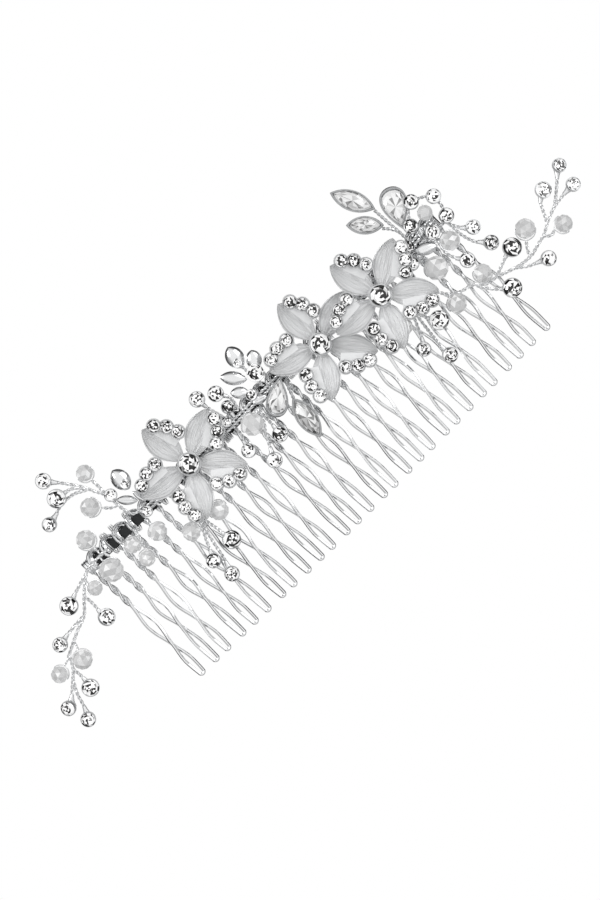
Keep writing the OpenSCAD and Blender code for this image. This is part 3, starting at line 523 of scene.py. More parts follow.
for side, spec in FLOWERS.items():
    x, middle, turn, post = spec
    casting, cups = bmesh.new(), bmesh.new()
    casting.verts.layers.float.new("along")
    casting.verts.layers.float.new("across")
    for k in range(PETALS):
        merge(casting, petal(turn + PETAL_SKEW + 360 * k / PETALS, seed=11 * k + len(side)))
        ledge = bmesh.new()
        ledge.faces.new([ledge.verts.new((x, y, dish(x))) for x, y in CUP_LEDGE])
        raised = bmesh.ops.extrude_face_region(ledge, geom=ledge.faces[:])["geom"]
        raised = [part for part in raised if isinstance(part, bmesh.types.BMVert)]
        bmesh.ops.translate(ledge, vec=(0, 0, LEDGE_THICK), verts=raised)
        merge(casting, ledge, Matrix.Rotation(math.radians(turn + 360 * k / PETALS), 4, "Z"))
        for reach, angle in PETAL_CUPS:
            at = Matrix.Rotation(math.radians(turn + 360 * k / PETALS + angle), 4, "Z")
            at = at @ Matrix.Translation((reach, 0, dish(reach)))
            flange = turned([(0, 0), (CUP_R, 0), (CUP_R + 0.2, 0.2), (CUP_R + 0.1, 0.4), (0, 0.42)])
            merge(casting, flange, at)
            merge(cups, bezel(CUP_R, CUP_TOP - 0.25), at @ Matrix.Translation((0, 0, 0.6)))
    boss = turned([(0, 0), (2.3, 0), (2.7, 0.25), (2.4, 0.6), (0, 0.7)], steps=40)
    merge(casting, boss)
    foot = POST_END - middle[2]
    tie_post = turned([(0, foot), (POST_R, foot), (0.85 * POST_R, -0.3), (POST_R, 0.1), (0, 0.12)])
    merge(casting, tie_post, Matrix.Translation((*post, 0)))
    for name, shape, finish, slot in (("casting", casting, satin, "petal_metal"),
                                      ("cups", cups, cup_silver, "cup_metal")):
        bmesh.ops.transform(shape, matrix=flower_at(spec), verts=shape.verts)
        flower = solid(f"flower_{side}_{name}", shape, finish)
        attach(flower, "root")
        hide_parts(f"flower_{side}_petals")

# ---- Set stones: brilliant-cut glass with a foiled back. Some facets are painted white and
# others black, as painted flashes and dark reflections. Each is set in a round cup of thin silver.
TABLE_SHARE = 0.58


class Seat:
    """Where a round solid of a CAD node sits: its middle, radius, height and facing."""

    def __init__(self, points):
        self.middle = sum(points, Vector()) / len(points)
        spokes = [p - self.middle for p in points]
        spread = [[sum(p[a] * p[b] for p in spokes) for b in range(3)] for a in range(3)]
        facing = Vector((0.05, -1, 0.03))
        inverse = (Matrix(spread) + Matrix.Identity(3) * 1e-12).inverted()
        for _ in range(30):
            facing = (inverse @ facing).normalized()
        self.facing = facing if facing.y < 0 else -facing
        depths = [p.dot(self.facing) for p in spokes]
        self.radius = max((p - self.facing * p.dot(self.facing)).length for p in spokes) / MM
        self.height = (max(depths) - min(depths)) / MM
        self.base = self.middle + self.facing * min(depths)

    def matrix(self, turn=0.0):
        """From millimetres with Z along the facing, and the base at zero."""
        upright = self.facing.to_track_quat("Z", "Y").to_matrix().to_4x4()
        spun = upright @ Matrix.Rotation(turn, 4, "Z")
        return Matrix.Translation(self.base) @ spun @ Matrix.Scale(MM, 4)


def seats_of(node):
    """The seats of the separate solids in a CAD node."""
    copy = bmesh.new()
    copy.from_mesh(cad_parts[node].data)
    bmesh.ops.remove_doubles(copy, verts=copy.verts, dist=1e-6)
    left = set(copy.verts)
    seats = []
    while left:
        group, waiting = set(), [left.pop()]
        while waiting:
            vert = waiting.pop()
            group.add(vert)
            near = {e.other_vert(vert) for e in vert.link_edges} & left
            left -= near
            waiting += near
        seats.append(Seat([v.co.copy() for v in group]))
    copy.free()
    return sorted(seats, key=lambda seat: tuple(round(c, 5) for c in seat.middle))


def shade_facets(bm, faces, levels, dark=0.0):
    """Paints each facet one of the levels of brightness as painted reflected light, or black with
    the given chance.
    """
    layer = bm.faces.layers.float["flash"]
    for face in faces:
        face[layer] = 0.0 if stone_random.random() < dark else stone_random.choice(levels)


FLASHES = [0.35, 0.7, 0.85, 0.95, 1.0, 1.0, 1.0]
stone_random = random.Random(23)


def brilliant(radius, height, sides=10):
    """A round stone: crown facets round a table, cut into facets painted as the back's facets seen
    through it.
    """
    dark = stone_random.choice([0.15, 0.25, 0.3, 0.45])
    made = bmesh.new()
    made.faces.layers.float.new("flash")
    bmesh.ops.create_cone(made, cap_ends=True, segments=sides, radius1=radius, radius2=radius,
                          depth=0.35 * height)
    bmesh.ops.translate(made, vec=(0, 0, 0.175 * height), verts=made.verts)
    top = [face for face in made.faces if face.normal.z > 0.9]
    shade_facets(made, made.faces, [0.4])
    facet_width = (1 - TABLE_SHARE) * radius * 0.5
    crown = bmesh.ops.inset_region(made, faces=top, thickness=facet_width)["faces"]
    bmesh.ops.translate(made, vec=(0, 0, 0.4 * height), verts=top[0].verts)
    star = bmesh.ops.inset_region(made, faces=top, thickness=facet_width)["faces"]
    bmesh.ops.translate(made, vec=(0, 0, 0.25 * height), verts=top[0].verts)
    crown = bmesh.ops.triangulate(made, faces=crown + star, quad_method="ALTERNATE")["faces"]
    shade_facets(made, crown, FLASHES, dark)
    ring = bmesh.ops.inset_region(made, faces=top, thickness=0.42 * TABLE_SHARE * radius)["faces"]
    shade_facets(made, ring, FLASHES, dark + 0.1)
    shade_facets(made, bmesh.ops.poke(made, faces=top)["faces"], FLASHES, dark + 0.1)
    return made


# Painted light: each facet's level sets its colour and a faint glow of the same colour.
cut_glass = Finish("foiled cut glass", IOR=1.6, Roughness=0.03, Coat_Weight=0.3,
                   Coat_Roughness=0.02, Emission_Strength=0.4)
flash = cut_glass.node("Attribute", {"attribute_name": "flash"}, output="Fac")
ramp = [(0.0, 0.004), (0.2, 0.05), (0.5, 0.4), (0.8, 0.85), (1.0, 1.0)]
flash = cut_glass.node("ValToRGB", {"stops": ramp}, {0: flash})
glint = cut_glass.noise(900, detail=1.0)
cut_glass.set(Base_Color=flash, Emission_Color=flash, Metallic=glint * 0.4)

SET_STONES = [
    "flower_left_stones", "flower_middle_stones", "flower_right_stones", "sprig_left_stones",
    "sprig_upper_stones", "sprig_right_stones", "drop_stones", "rosette_stones", "accent_stones",
    "leaf_stones",
]
for node in SET_STONES:
    stones = bmesh.new()
    stones.faces.layers.float.new("flash")
    for seat in seats_of(node):
        turn = stone_random.uniform(0, math.pi)
        merge(stones, brilliant(1.06 * seat.radius, seat.height), seat.matrix(turn))
    cut = solid(node + "_cut", stones, cut_glass, crease=0)
    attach(cut, "root")
    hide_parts(node)

# ---- Twisted stems: pairs of fine silver wires twisted together into sprigs and drops,
# which end at set stones, and the wire loops that carry the crystals. Every route is a list
# of [along the spine, up, out] in millimetres from the place where its group is tied on.
LEFT_END = -56.4
RIGHT_END = 56.4
LEFT_STEMS = [
    [[6.9, 0, 2], [0.9, -0.1, 2], [-1.9, -1.6, 2.2], [-4.9, -4.3, 2.5], [-7.6, -7, 2.8],
     [-11.1, -8.4, 3], [-14.6, -10.1, 3.2], [-17.3, -11.5, 3.2]],
    [[-0.1, -0.5, 2.1], [-3.1, -1.3, 2.3], [-5.6, -2.1, 2.6], [-8, -3, 2.8]],
    [[-4.5, -3.9, 2.5], [-4.3, -6.5, 2.6], [-4.5, -8.9, 2.8], [-4.7, -10.8, 3]],
    [[-7.6, -7, 2.8], [-11.1, -7.2, 2.9], [-13.8, -7.5, 3], [-15.7, -7.9, 3.1]],
    [[-16.1, -10.8, 3.2], [-17.9, -13.8, 3.2], [-20, -15.8, 3.3], [-22.2, -17.8, 3.4],
     [-24.1, -19.3, 3.4]],
    [[-17.9, -13.8, 3.2], [-17.7, -16.5, 3.2], [-17.9, -19.3, 3.3]],
    [[-19.6, -15.5, 3.3], [-21.2, -18.5, 3.3], [-22.1, -21.5, 3.3], [-23.1, -24, 3.4]],
]
UPPER_STEMS = [
    [[5, 1.3, 2], [1.4, 1.3, 2], [0.3, 4, 2.3], [-0.1, 8.5, 2.6], [-1.4, 11.2, 2.7],
     [-2.6, 13.8, 2.8], [-5.2, 17.6, 3], [-7.7, 20.6, 3.2]],
    [[-2.4, 13.2, 2.8], [-4.5, 15.2, 2.9], [-6.6, 15.8, 2.9], [-8.5, 16, 3]],
    [[-2.2, 12.6, 2.7], [-5.5, 14.2, 2.2], [-9, 14.4, 2], [-11.7, 13.6, 2.4], [-13.4, 13.2, 2.7]],
    [[-0.1, 8.8, 2.6], [0, 11.5, 2.7], [-0.1, 13.4, 2.9]],
    [[0.2, 5.3, 2.4], [-1.3, 5.9, 2.7], [-2.6, 7.1, 3]],
    [[-1.2, -0.9, 1.9], [-1.5, -3.2, 2.4], [-2.3, -5.6, 2.8]],
    [[2.3, -1.3, 2], [2.3, -3.2, 2.2]],
]
DROP_LEFT_STEMS = [
    [[-5.9, -1.3, 2], [-5.4, -5, 2.3], [-4.7, -11, 2.6], [-4, -15, 2.8], [-3.8, -18.4, 2.9]],
    [[-5.4, -10.5, 2.6], [-7, -13.2, 2.8], [-8.6, -16.5, 2.7], [-9.7, -19.2, 2.9]],
    [[-6, -12.2, 2.7], [-7, -16.5, 2.4], [-7.8, -20.3, 2.5], [-8.8, -23.5, 2.8]],
    [[-5.2, -6.5, 2.4], [-6, -7.6, 2.7], [-6.4, -8.1, 2.9]],
    [[-0.9, -1.3, 2], [-0.9, -5, 2.2], [-0.9, -9.2, 2.6]],
]
MIDDLE_STEMS = [
    [[-1.4, -1.3, 2], [-1.6, -3.5, 2.3], [-2.4, -5.5, 2.6], [-2.7, -7.1, 2.7]],
    [[4.6, -1.3, 2], [4.2, -4.5, 2.2], [2.6, -6.9, 2.4], [1, -10, 2.6], [-0.2, -12.3, 2.8]],
    [[5.2, -1.3, 2], [5.1, -4.5, 2.3], [5, -7, 2.5], [4.7, -9.3, 2.7]],
    [[-1.3, 1.3, 1.9], [-2.2, 4.5, 2.3], [-2.8, 7.3, 2.7], [-3, 9.4, 2.9]],
    [[2, 1.3, 2], [2.6, 4, 2.2], [1.8, 6, 2.5], [0.9, 7.3, 2.8]],
    [[0.2, 1.3, 2], [0.4, 3.3, 2.3]],
]
PENDANT_STEMS = [
    [[-2.8, 7.6, 2.4], [-2.6, 4.5, 2.3], [-2.5, 1.3, 2]],
    [[2.1, -1.3, 2], [1.3, -3.2, 2], [0.3, -6, 1.9]],
    [[-7.4, 3.8, 2.3], [-6.9, 1.3, 2]],
    [[0.2, 6.5, 2.3], [-0.3, 3.5, 2.2], [-0.5, 1.3, 2]],
]
DROP_RIGHT_STEMS = [
    [[4.7, -1.3, 2], [5, -6, 2.3], [5, -11, 2.6], [6, -14.2, 2.8], [7.4, -16.5, 3]],
    [[4.7, -10.5, 2.6], [3.5, -13.2, 2.7], [2, -16.5, 2.8], [0.7, -18.9, 2.9]],
    [[4.8, -12, 2.6], [4.2, -16.5, 2.5], [3.8, -20.5, 2.6], [3.7, -23.6, 2.8]],
    [[0.8, -1.3, 2], [0.8, -5, 2.4], [0.8, -9.6, 2.7]],
]
RIGHT_STEMS = [
    [[-17.5, -1.3, 2], [-15.9, -1.6, 2.1], [-13.4, -7.5, 2.3], [-11.2, -12.8, 2.5],
     [-8.6, -15.2, 2.7], [-5.1, -16.3, 2.9], [-2.8, -18.3, 3], [0.1, -18.9, 3.1],
     [3.6, -20.1, 3.2], [6.1, -20.8, 3.2], [9.1, -21, 3.2], [11.6, -20.4, 3.3], [14.6, -19.6, 3.4],
     [17.2, -18.2, 3.4], [20.6, -16.9, 3.4], [24.1, -16.4, 3.4], [26.6, -16.3, 3.5]],
    [[20.6, -16.9, 3.4], [22.9, -15.1, 3.5], [25.2, -13.1, 3.6], [27.4, -11.1, 3.6]],
    [[16.8, -18.4, 3.4], [17.9, -16.2, 3.4], [19.2, -13.8, 3.5], [21, -12.5, 3.5]],
    [[0.1, -18.9, 3.1], [2.6, -17.9, 3.1], [5.1, -17, 3.2], [6.9, -16.6, 3.2]],
    [[-4.4, -17.2, 2.9], [-3.2, -19.2, 3], [-1.4, -21.3, 3.1], [0.7, -22.9, 3.2]],
    [[4.6, -20.5, 3.2], [6.9, -22.2, 3.2], [9.1, -23.2, 3.3], [11, -24, 3.3]],
    [[8.8, -20.7, 3.2], [9.5, -19.4, 3.2], [10.4, -18.1, 3.3]],
    [[14.1, -19.8, 3.4], [15.4, -20.9, 3.4], [16.7, -20.8, 3.4]],
    [[-11, -13.2, 2.6], [-10.8, -14.2, 2.9]],
]
SPRAY_STEMS = [
    [[-8.8, 11.4, 2.7], [-8.6, 8.5, 2.5], [-8.4, 5.5, 2.4], [-8.2, 3, 2.2], [-8.2, 1.3, 2]],
    [[-10.4, 7.2, 2.6], [-9.2, 5.8, 2.5], [-8.3, 4.2, 2.3]],
    [[-6.9, 1.3, 2], [-6.1, 2, 2.6], [-5.4, 3, 3.3], [-3.8, 5.6, 3.3], [-1.7, 6.6, 3.3],
     [0.9, 5.9, 2.8], [2.6, 4.2, 2.6], [2.8, 1.7, 2.5], [1.7, -0.7, 2.6], [-0.6, -1.8, 2.5],
     [-3, -1.2, 2.5], [-4.9, -1.4, 2.3], [-6.9, -1.3, 2]],
    [[-1.2, -1.8, 2.5], [-0.8, 0.5, 1.7], [-1.2, 2.9, 1.7]],
    [[-5.9, -1.3, 2.1], [-4.4, -2.9, 2], [-3.1, -4.2, 2.2]],
    [[-3.4, -3.2, 2.4], [-4.1, -7, 2], [-2.9, -10, 2.2], [-1.9, -11.4, 2.5]],
    [[0.6, -1.6, 2.5], [1.5, -3.8, 2.6], [2.6, -5.6, 2.7], [3.9, -7, 2.8]],
    [[1.1, -2.9, 2.5], [1.3, -6.5, 2.4], [2.4, -9.8, 2.4], [4.4, -12.2, 2.6]],
    [[-8.9, -1.3, 2], [-8.4, -3.2, 2], [-8.2, -4.9, 2.1]],
    [[-11.8, -1.3, 2], [-11.4, -3.1, 2.2]],
]

# Crystals: name, middle, radius, turn of the bore, tilt of the loop, length of its tail.
LEFT_BEADS = [
    ["crystal_left_sprig", [-14.8, -13.9, 4.3], 2.3, 160, 14, 2],
    ["crystal_left_tip", [-21, -12.6, 3.2], 2, 106, 0, 1.2],
    ["crystal_spine_end", [4.8, 4.9, 2.2], 2.3, 0, 0, 2.1],
]
LEFT_BOUND_BEADS = [
    ["", [4.2, -4.2, 4.1], 2.8, 180, 26, 1.3],
    ["", [-1.4, -4.4, 3.6], 1.8, 190, 26, 0.8],
]
UPPER_BEADS = [
    ["crystal_upper_top", [-0.1, 15.8, 2.9], 2, 0, 0, 0.3],
    ["crystal_upper_side", [-4.7, 9.4, 3], 2.3, 42.5, 0, 0.3],
    ["crystal_spine_left", [-3.7, -8, 3.2], 1.9, 150, 10, 0.4],
    ["crystal_spine_inner", [2.3, -5.4, 3.6], 2.2, 180, 30, 0.3],
]
UPPER_BOUND_BEADS = [
    ["", [-4, -3.5, 3.4], 1.9, 97, 22, 0.3],
]
DROP_LEFT_BEADS = [
    ["crystal_drop_left", [-8.7, -10.9, 4.6], 2.1, 141, 25, 1.1],
]
DROP_LEFT_BOUND_BEADS = [
    ["", [-0.9, -11.8, 3.4], 2.3, 180, 15, 0.3],
]
MIDDLE_BEADS = [
    ["crystal_middle", [1.9, -3.3, 4.9], 2.75, 180, 45, 0.3],
]
DROP_RIGHT_BOUND_BEADS = [
    ["", [0.8, -12.3, 3.4], 1.8, 180, 20, 0.3],
]
RIGHT_BEADS = [
    ["crystal_right_sprig", [12.4, -15.7, 3.3], 2.4, -40, 0, 0.3],
    ["crystal_right_tip", [19.4, -21.1, 3.4], 2.1, 261, 0, 0.3],
    ["crystal_right_low", [-10.6, -16.8, 4.3], 2.3, 185, 30, 0.3],
    ["crystal_right_corner", [-1.6, -16, 4.3], 2.2, 307, 28, 0.1],
]
SPRAY_BEADS = [
    ["crystal_rosette", [-1.2, 2.9, 4], 1.85, 62, 90, 0.1],
    ["crystal_rosette_low", [-1.6, -5.6, 3.9], 2.35, 215, 30, 0.3],
    ["crystal_right_large", [-8.2, -7.8, 4.1], 2.85, 180, 35, 0.3],
]

STEM_GROUPS = {
    "sprig_left_wires": [(LEFT_END, LEFT_STEMS, LEFT_BEADS + LEFT_BOUND_BEADS)],
    "sprig_upper_wires": [(bay_x(3), UPPER_STEMS, UPPER_BEADS + UPPER_BOUND_BEADS)],
    "sprig_right_wires": [(RIGHT_END, RIGHT_STEMS, RIGHT_BEADS)],
    "drop_wires": [
        (bay_x(7), DROP_LEFT_STEMS, DROP_LEFT_BEADS + DROP_LEFT_BOUND_BEADS),
        (bay_x(11), MIDDLE_STEMS, MIDDLE_BEADS),
        (bay_x(14), PENDANT_STEMS, []),
        (bay_x(21), DROP_RIGHT_STEMS, DROP_RIGHT_BOUND_BEADS),
    ],
    "spray_wires": [(RIGHT_END, SPRAY_STEMS, SPRAY_BEADS)],
}
PIN_R = 0.14
LOOP_GAP = 0.26


def crystal_frame(x, bead):
    """From a crystal's own millimetres, with its bore along X, to the object's frame."""
    middle, turn, tilt = bead[1], math.radians(bead[3]), math.radians(bead[4])
    at = Matrix.Translation((x + middle[0], middle[1], middle[2]))
    turned_to = Matrix.Rotation(turn, 4, "Z") @ Matrix.Rotation(tilt, 4, "X")
    return Matrix.Scale(MM, 4) @ TO_FRONT @ at @ turned_to


def crystal_loop(x, bead):
    """The fine wire through a crystal's bore, bent closely round it to where its tail begins."""
    at = crystal_frame(x, bead)
    half = []
    for k in range(1, 19):
        angle = math.pi * k / 36
        reach = bead[2] * (0.88 + 0.12 * math.cos(angle)) + LOOP_GAP
        half.append((reach * math.sin(angle), -reach * math.cos(angle), 0))
    half = [(0.05, -bead[2] - LOOP_GAP - 0.3, 0)] + half
    return [at @ Vector(p) for p in half + [(-px, py, pz) for px, py, pz in reversed(half)]]


def crystal_tail(x, bead):
    """The short twist of both ends of the loop's wire."""
    at = crystal_frame(x, bead)
    start, end = bead[2] + LOOP_GAP, bead[2] + LOOP_GAP + 0.6 + bead[5]
    points = [at @ Vector((0, -reach, 0)) for reach in (start, (start + end) / 2, end)]
    return twisted_pair(points, strand=PIN_R, pitch=1.2)


for node, groups in STEM_GROUPS.items():
    paths = []
    loops = []
    for x, stems, beads in groups:
        for stem in stems:
            paths += twisted_pair([place(x + p[0], p[1], p[2]) for p in stem])
        for bead in beads:
            loops += [crystal_loop(x, bead)] + crystal_tail(x, bead)
    wires = tube(paths, STRAND_R)
    if loops:
        merge(wires, tube(loops, PIN_R))
    wires = solid(node[:-6] + "_twists", wires, stem_wire)
    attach(wires, "root")
    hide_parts(node)

# ---- Cups: thin polished silver round every stone, with the edge turned in over it. A cup
# at the end of a stem narrows at the back into a sleeve drawn onto the twisted wire.
SLEEVE_LENGTH = 2.6
SLEEVE_END_R = 0.46


def sleeve(tip, back, radius):
    """A flattened cone from the back of a cup, at the tip, down onto its stem."""
    made = bmesh.new()
    rings = []
    along = (tip - back).normalized()
    across = along.cross(Vector((0, -1, 0))).normalized()
    above = across.cross(along)
    for q in (0.0, 0.3, 0.6, 0.85, 1.0):
        wide = (SLEEVE_END_R + (radius - 0.5) * q * q) * MM * across
        deep = SLEEVE_END_R * MM * above
        centre = back.lerp(tip, q)
        rings.append([made.verts.new(centre + math.cos(a) * wide + math.sin(a) * deep)
                      for a in (math.pi * k / 8 for k in range(16))])
    for low_ring, high_ring in zip(rings, rings[1:]):
        for k in range(16):
            made.faces.new((low_ring[k], low_ring[k - 1], high_ring[k - 1], high_ring[k]))
    made.faces.new(rings[0])
    made.faces.new(rings[-1][::-1])
    return made


stem_ends = []
for groups in STEM_GROUPS.values():
    for x, stems, beads in groups:
        for stem in stems:
            tip, before = (place(x + p[0], p[1], p[2]) for p in (stem[-1], stem[-2]))
            stem_ends.append((tip, tip + (before - tip).normalized() * SLEEVE_LENGTH * MM))
for node in ["flower_left_centre_cup", "flower_middle_centre_cup", "flower_right_centre_cup",
             "sprig_left_cups", "sprig_upper_cups", "sprig_right_cups", "drop_cups",
             "rosette_cups", "accent_cups"]:
    cups, sleeves = bmesh.new(), bmesh.new()
    for seat in seats_of(node):
        merge(cups, bezel(seat.radius, seat.height, seat=0.55), seat.matrix())
        for tip, back in stem_ends:
            if (tip - seat.base).length < 1.1 * MM:
                merge(sleeves, sleeve(tip, back, 0.8 * seat.radius))
    for name, shape, finish in (("silver", cups, cup_silver), ("sleeves", sleeves, stem_wire)):
        if shape.verts:
            made = solid(f"{node}_{name}", shape, finish)
            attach(made, "root")
            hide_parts(node)

# ---- Crystals: milky grey glass beads cut with rows of three-cornered facets and drilled
# through. Sixteen turn freely on their wire; five are tied down against the spine.
BEAD_SIDES = 10
BORE_R = 0.28
# Painted light: the facets' grey levels, and a faint glow of the same grey, stand in for light on
# the facets.
BEAD_LEVELS = [0.5, 0.65, 0.72, 0.75, 0.8, 0.85, 1.0]
milk_glass = Finish("milky crystal", IOR=1.3, Coat_Weight=0.05, Coat_Roughness=0.05,
                    Emission_Strength=0.5)
tone = milk_glass.node("Attribute", {"attribute_name": "flash"}, output="Fac")
ramp = [(0.0, 0.03), (0.5, 0.36), (0.8, 0.5), (1.0, 0.75)]
tone = milk_glass.node("ValToRGB", {"stops": ramp}, {0: tone})
veil = milk_glass.noise(900)
milky = milk_glass.mix(veil * 0.5, tone, grey(0.46))
milk_glass.set(Base_Color=milky, Emission_Color=milky, Roughness=veil * 0.2 + 0.3)


def faceted_bead(radius):
    """A drilled bead about X: two rows of facets on each side of its widest ring."""
    made = bmesh.new()
    layer = made.faces.layers.float.new("flash")
    profile = [(-0.9, BORE_R / radius, 0), (-0.9, 0.45, 0), (-0.5, 0.86, 1), (0, 1, 0),
               (0.5, 0.86, 1), (0.9, 0.45, 0), (0.9, BORE_R / radius, 0)]
    rings = []
    for x, ring_radius, shift in profile:
        angles = [2 * math.pi * (k + 0.5 * shift) / BEAD_SIDES for k in range(BEAD_SIDES)]
        rings.append([made.verts.new((x * radius, ring_radius * radius * math.cos(a),
                                      ring_radius * radius * math.sin(a))) for a in angles])
    for k, (near, far) in enumerate(zip(rings, rings[1:] + rings[:1])):
        shift = profile[(k + 1) % len(profile)][2] - profile[k][2]
        for i in range(BEAD_SIDES):
            j = (i + 1) % BEAD_SIDES
            if shift == 0:
                faces = [(near[i], near[j], far[j], far[i])]
            elif shift > 0:
                faces = [(near[i], near[j], far[i]), (near[j], far[j], far[i])]
            else:
                faces = [(near[i], near[j], far[j]), (near[i], far[j], far[i])]
            for corners in faces:
                # The faces of the bore are painted black as painted shadow inside it.
                level = 0.0 if k == len(rings) - 1 else stone_random.choice(BEAD_LEVELS)
                made.faces.new(corners)[layer] = level
    return made


bound = bmesh.new()
bound.faces.layers.float.new("flash")
for groups in STEM_GROUPS.values():
    for x, stems, beads in groups:
        for bead in beads:
            if bead[0] == "":
                merge(bound, faceted_bead(bead[2]), crystal_frame(x, bead))
                continue
            cut = faceted_bead(bead[2])
            bmesh.ops.transform(cut, matrix=crystal_frame(x, bead), verts=cut.verts)
            cut = solid(bead[0] + "_cut", cut, milk_glass, crease=0)
            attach(cut, bead[0] + "_body")
            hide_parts(bead[0])
bound = solid("bound_crystals_cut", bound, milk_glass, crease=0)
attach(bound, "root")
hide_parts("bound_crystals")

# ---- Leaves: stamped from thin silver sheet, domed, mirror polished and veined down the
# middle. Some carry a small stone in a cup of its own.
# Each leaf is [middle, length, width, turn] and each small cup [middle, radius].
LEAF_THICK = 0.4
LEAVES = {
    "leaves_upper": (bay_x(3), [
        [[4.7, 8.9, 2.7], 5.8, 4.2, 88], [[2.4, 4.6, 2.8], 5.2, 2.2, 134],
        [[5, 3.3, 2.8], 3.8, 1.5, 100],
    ], [[[4.7, 7.6, 2.7], 1.15]]),
    "leaves_middle": (bay_x(14), [
        [[-2.5, 10.2, 2.7], 5.8, 4.2, 80], [[-6.1, 7.1, 2.7], 6.4, 3.2, 130],
        [[0.2, 6.8, 2.7], 4.6, 3.6, 60], [[-7.4, 3.8, 2.7], 4.2, 2.8, 140],
        [[-5.2, -0.5, 2.7], 3.8, 2.2, -20],
    ], [[[-3, 8.9, 2.7], 1.15], [[-1.7, 4.4, 2.7], 2.1], [[-5.9, 1.6, 2.7], 1.35]]),
    "leaves_right": (RIGHT_END, [[[-6.7, -3, 2.7], 5.6, 3, -28]], []),
}
mirror = Finish("mirror-polished leaves", Metallic=1.0)
smear = mirror.noise(380)
mirror.set(Base_Color=mirror.mix(smear, grey(0.78), grey(0.97)), Roughness=smear * 0.14 + 0.08,
           Normal=mirror.bump(mirror.noise(300, detail=1.0), 0.3, 0.0002))


def arc_half(x, length, width):
    """Half-width at x of an outline made of two equal arcs that meet in points."""
    arc = (length * length + width * width) / (4 * width)
    return max(0.0, math.sqrt(arc * arc - x * x) - arc + width / 2)


def domed_leaf(length, width):
    made = bmesh.new()
    bmesh.ops.create_grid(made, x_segments=24, y_segments=12, size=1.0)
    for vert in made.verts:
        x, side = vert.co.x * length / 2, vert.co.y
        half = arc_half(x, length, width)
        dome = 0.42 * half * (1 - side * side)
        vein = 0.12 * math.exp(-(side / 0.12) ** 2) * half / width * 2
        vert.co = (x, side * half, LEAF_THICK + dome - vein)
    bmesh.ops.remove_doubles(made, verts=made.verts, dist=1e-4)
    back = bmesh.ops.extrude_face_region(made, geom=made.faces[:])["geom"]
    back = [part for part in back if isinstance(part, bmesh.types.BMVert)]
    bmesh.ops.translate(made, vec=(0, 0, -LEAF_THICK), verts=back)
    return made


for node, (x, leaves, leaf_cups) in LEAVES.items():
    cluster = bmesh.new()
    for middle, length, width, turn in leaves:
        at = Matrix.Translation(middle) @ Matrix.Rotation(math.radians(turn), 4, "Z")
        merge(cluster, domed_leaf(length, width), at)
    for middle, radius in leaf_cups:
        merge(cluster, bezel(radius, 1.65, seat=0.55), Matrix.Translation(middle))
    at = Matrix.Scale(MM, 4) @ TO_FRONT @ Matrix.Translation((x, 0, 0))
    bmesh.ops.transform(cluster, matrix=at, verts=cluster.verts)
    cluster = solid(node + "_silver", cluster, mirror)
    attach(cluster, "root")
    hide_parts(node)

# ---- Large stones: three marquises and two teardrops of foiled glass, each in a silver
# tray whose wall is rubbed over the stone's edge.
# Each is (group's place, middle, length, width, turn).
TRAY_SEAT = 0.8
MARQUISES = [
    (RIGHT_END, [-10.9, 16.4, 3.2], 10.9, 4.7, 115.5),
    (RIGHT_END, [-12.8, 10.5, 3.1], 8.6, 4.2, 135.5),
    (bay_x(14), [-0.6, -11, 2.4], 10.9, 4.8, 81.5),
]
TEARDROPS = [
    (RIGHT_END, [-5, 8.3, 1.2], 10.2, 6.4, 245),
    (bay_x(14), [-1.9, -3, 3], 9.4, 5.2, 39),
]


def marquise(length, width, count):
    """Points round an outline of two arcs, the same number for every size."""
    points = []
    for k in range(count):
        a = 2 * math.pi * k / count
        x = math.cos(a) * length / 2
        points.append((x, math.copysign(arc_half(x, length, width), math.sin(a + 1e-6))))
    return points


def teardrop(length, width, count):
    """Points round an outline with one round end and one point."""
    points = []
    for k in range(count):
        a = 2 * math.pi * k / count
        half = 0.65 * width * math.sin(a) * abs(math.sin(a / 2)) ** 1.1
        points.append((length / 2 * math.cos(a), half))
    return points


def terraces(outline, length, width, profile, count):
    """Closed rings of an outline, each inset and raised by the profile, as one solid."""
    made = bmesh.new()
    made.faces.layers.float.new("flash")
    rings = []
    for inset, height in profile:
        points = outline(length - 4 * inset, width - 2 * inset, count)
        rings.append([made.verts.new((px, py, height)) for px, py in points])
    for near, far in zip(rings, rings[1:]):
        for k in range(count):
            made.faces.new((near[k - 1], near[k], far[k], far[k - 1]))
    made.faces.new(rings[0][::-1])
    made.faces.new(rings[-1])
    return made


TRAY_PROFILE = [(0.15, 0), (0, 0.25), (0, 1.35), (0.1, 1.6), (0.3, 1.62), (0.4, 1.5),
                (0.42, TRAY_SEAT)]
CUT_PROFILE = [(0.45, TRAY_SEAT), (0.45, 1.45), (0.75, 1.75), (1.25, 2.02)]
# Painted light: the facets' levels, streaked by a stretched noise, paint reflections into the
# colour, which also glows faintly.
large_glass = Finish("large foiled stones", IOR=1.55, Roughness=0.05, Coat_Weight=0.3,
                     Coat_Roughness=0.03, Emission_Strength=0.3)
shine = large_glass.node("Attribute", {"attribute_name": "flash"}, output="Fac")
streak = large_glass.noise(420, detail=2.0, stretch=(1, 1, 0.35))
ramp = [(0.15, 0.03), (0.35, 0.3), (0.6, 0.62), (1.0, 0.92)]
shine = large_glass.node("ValToRGB", {"stops": ramp}, {0: shine * 0.55 + streak * 0.45})
large_glass.set(Base_Color=shine, Emission_Color=shine, Metallic=streak * 0.4)
CLEAR_LEVELS = [0.12, 0.5, 0.8, 1.0, 1.0, 1.0]
SMOKY_LEVELS = [0.03, 0.15, 0.35, 0.5, 0.8, 1.0]
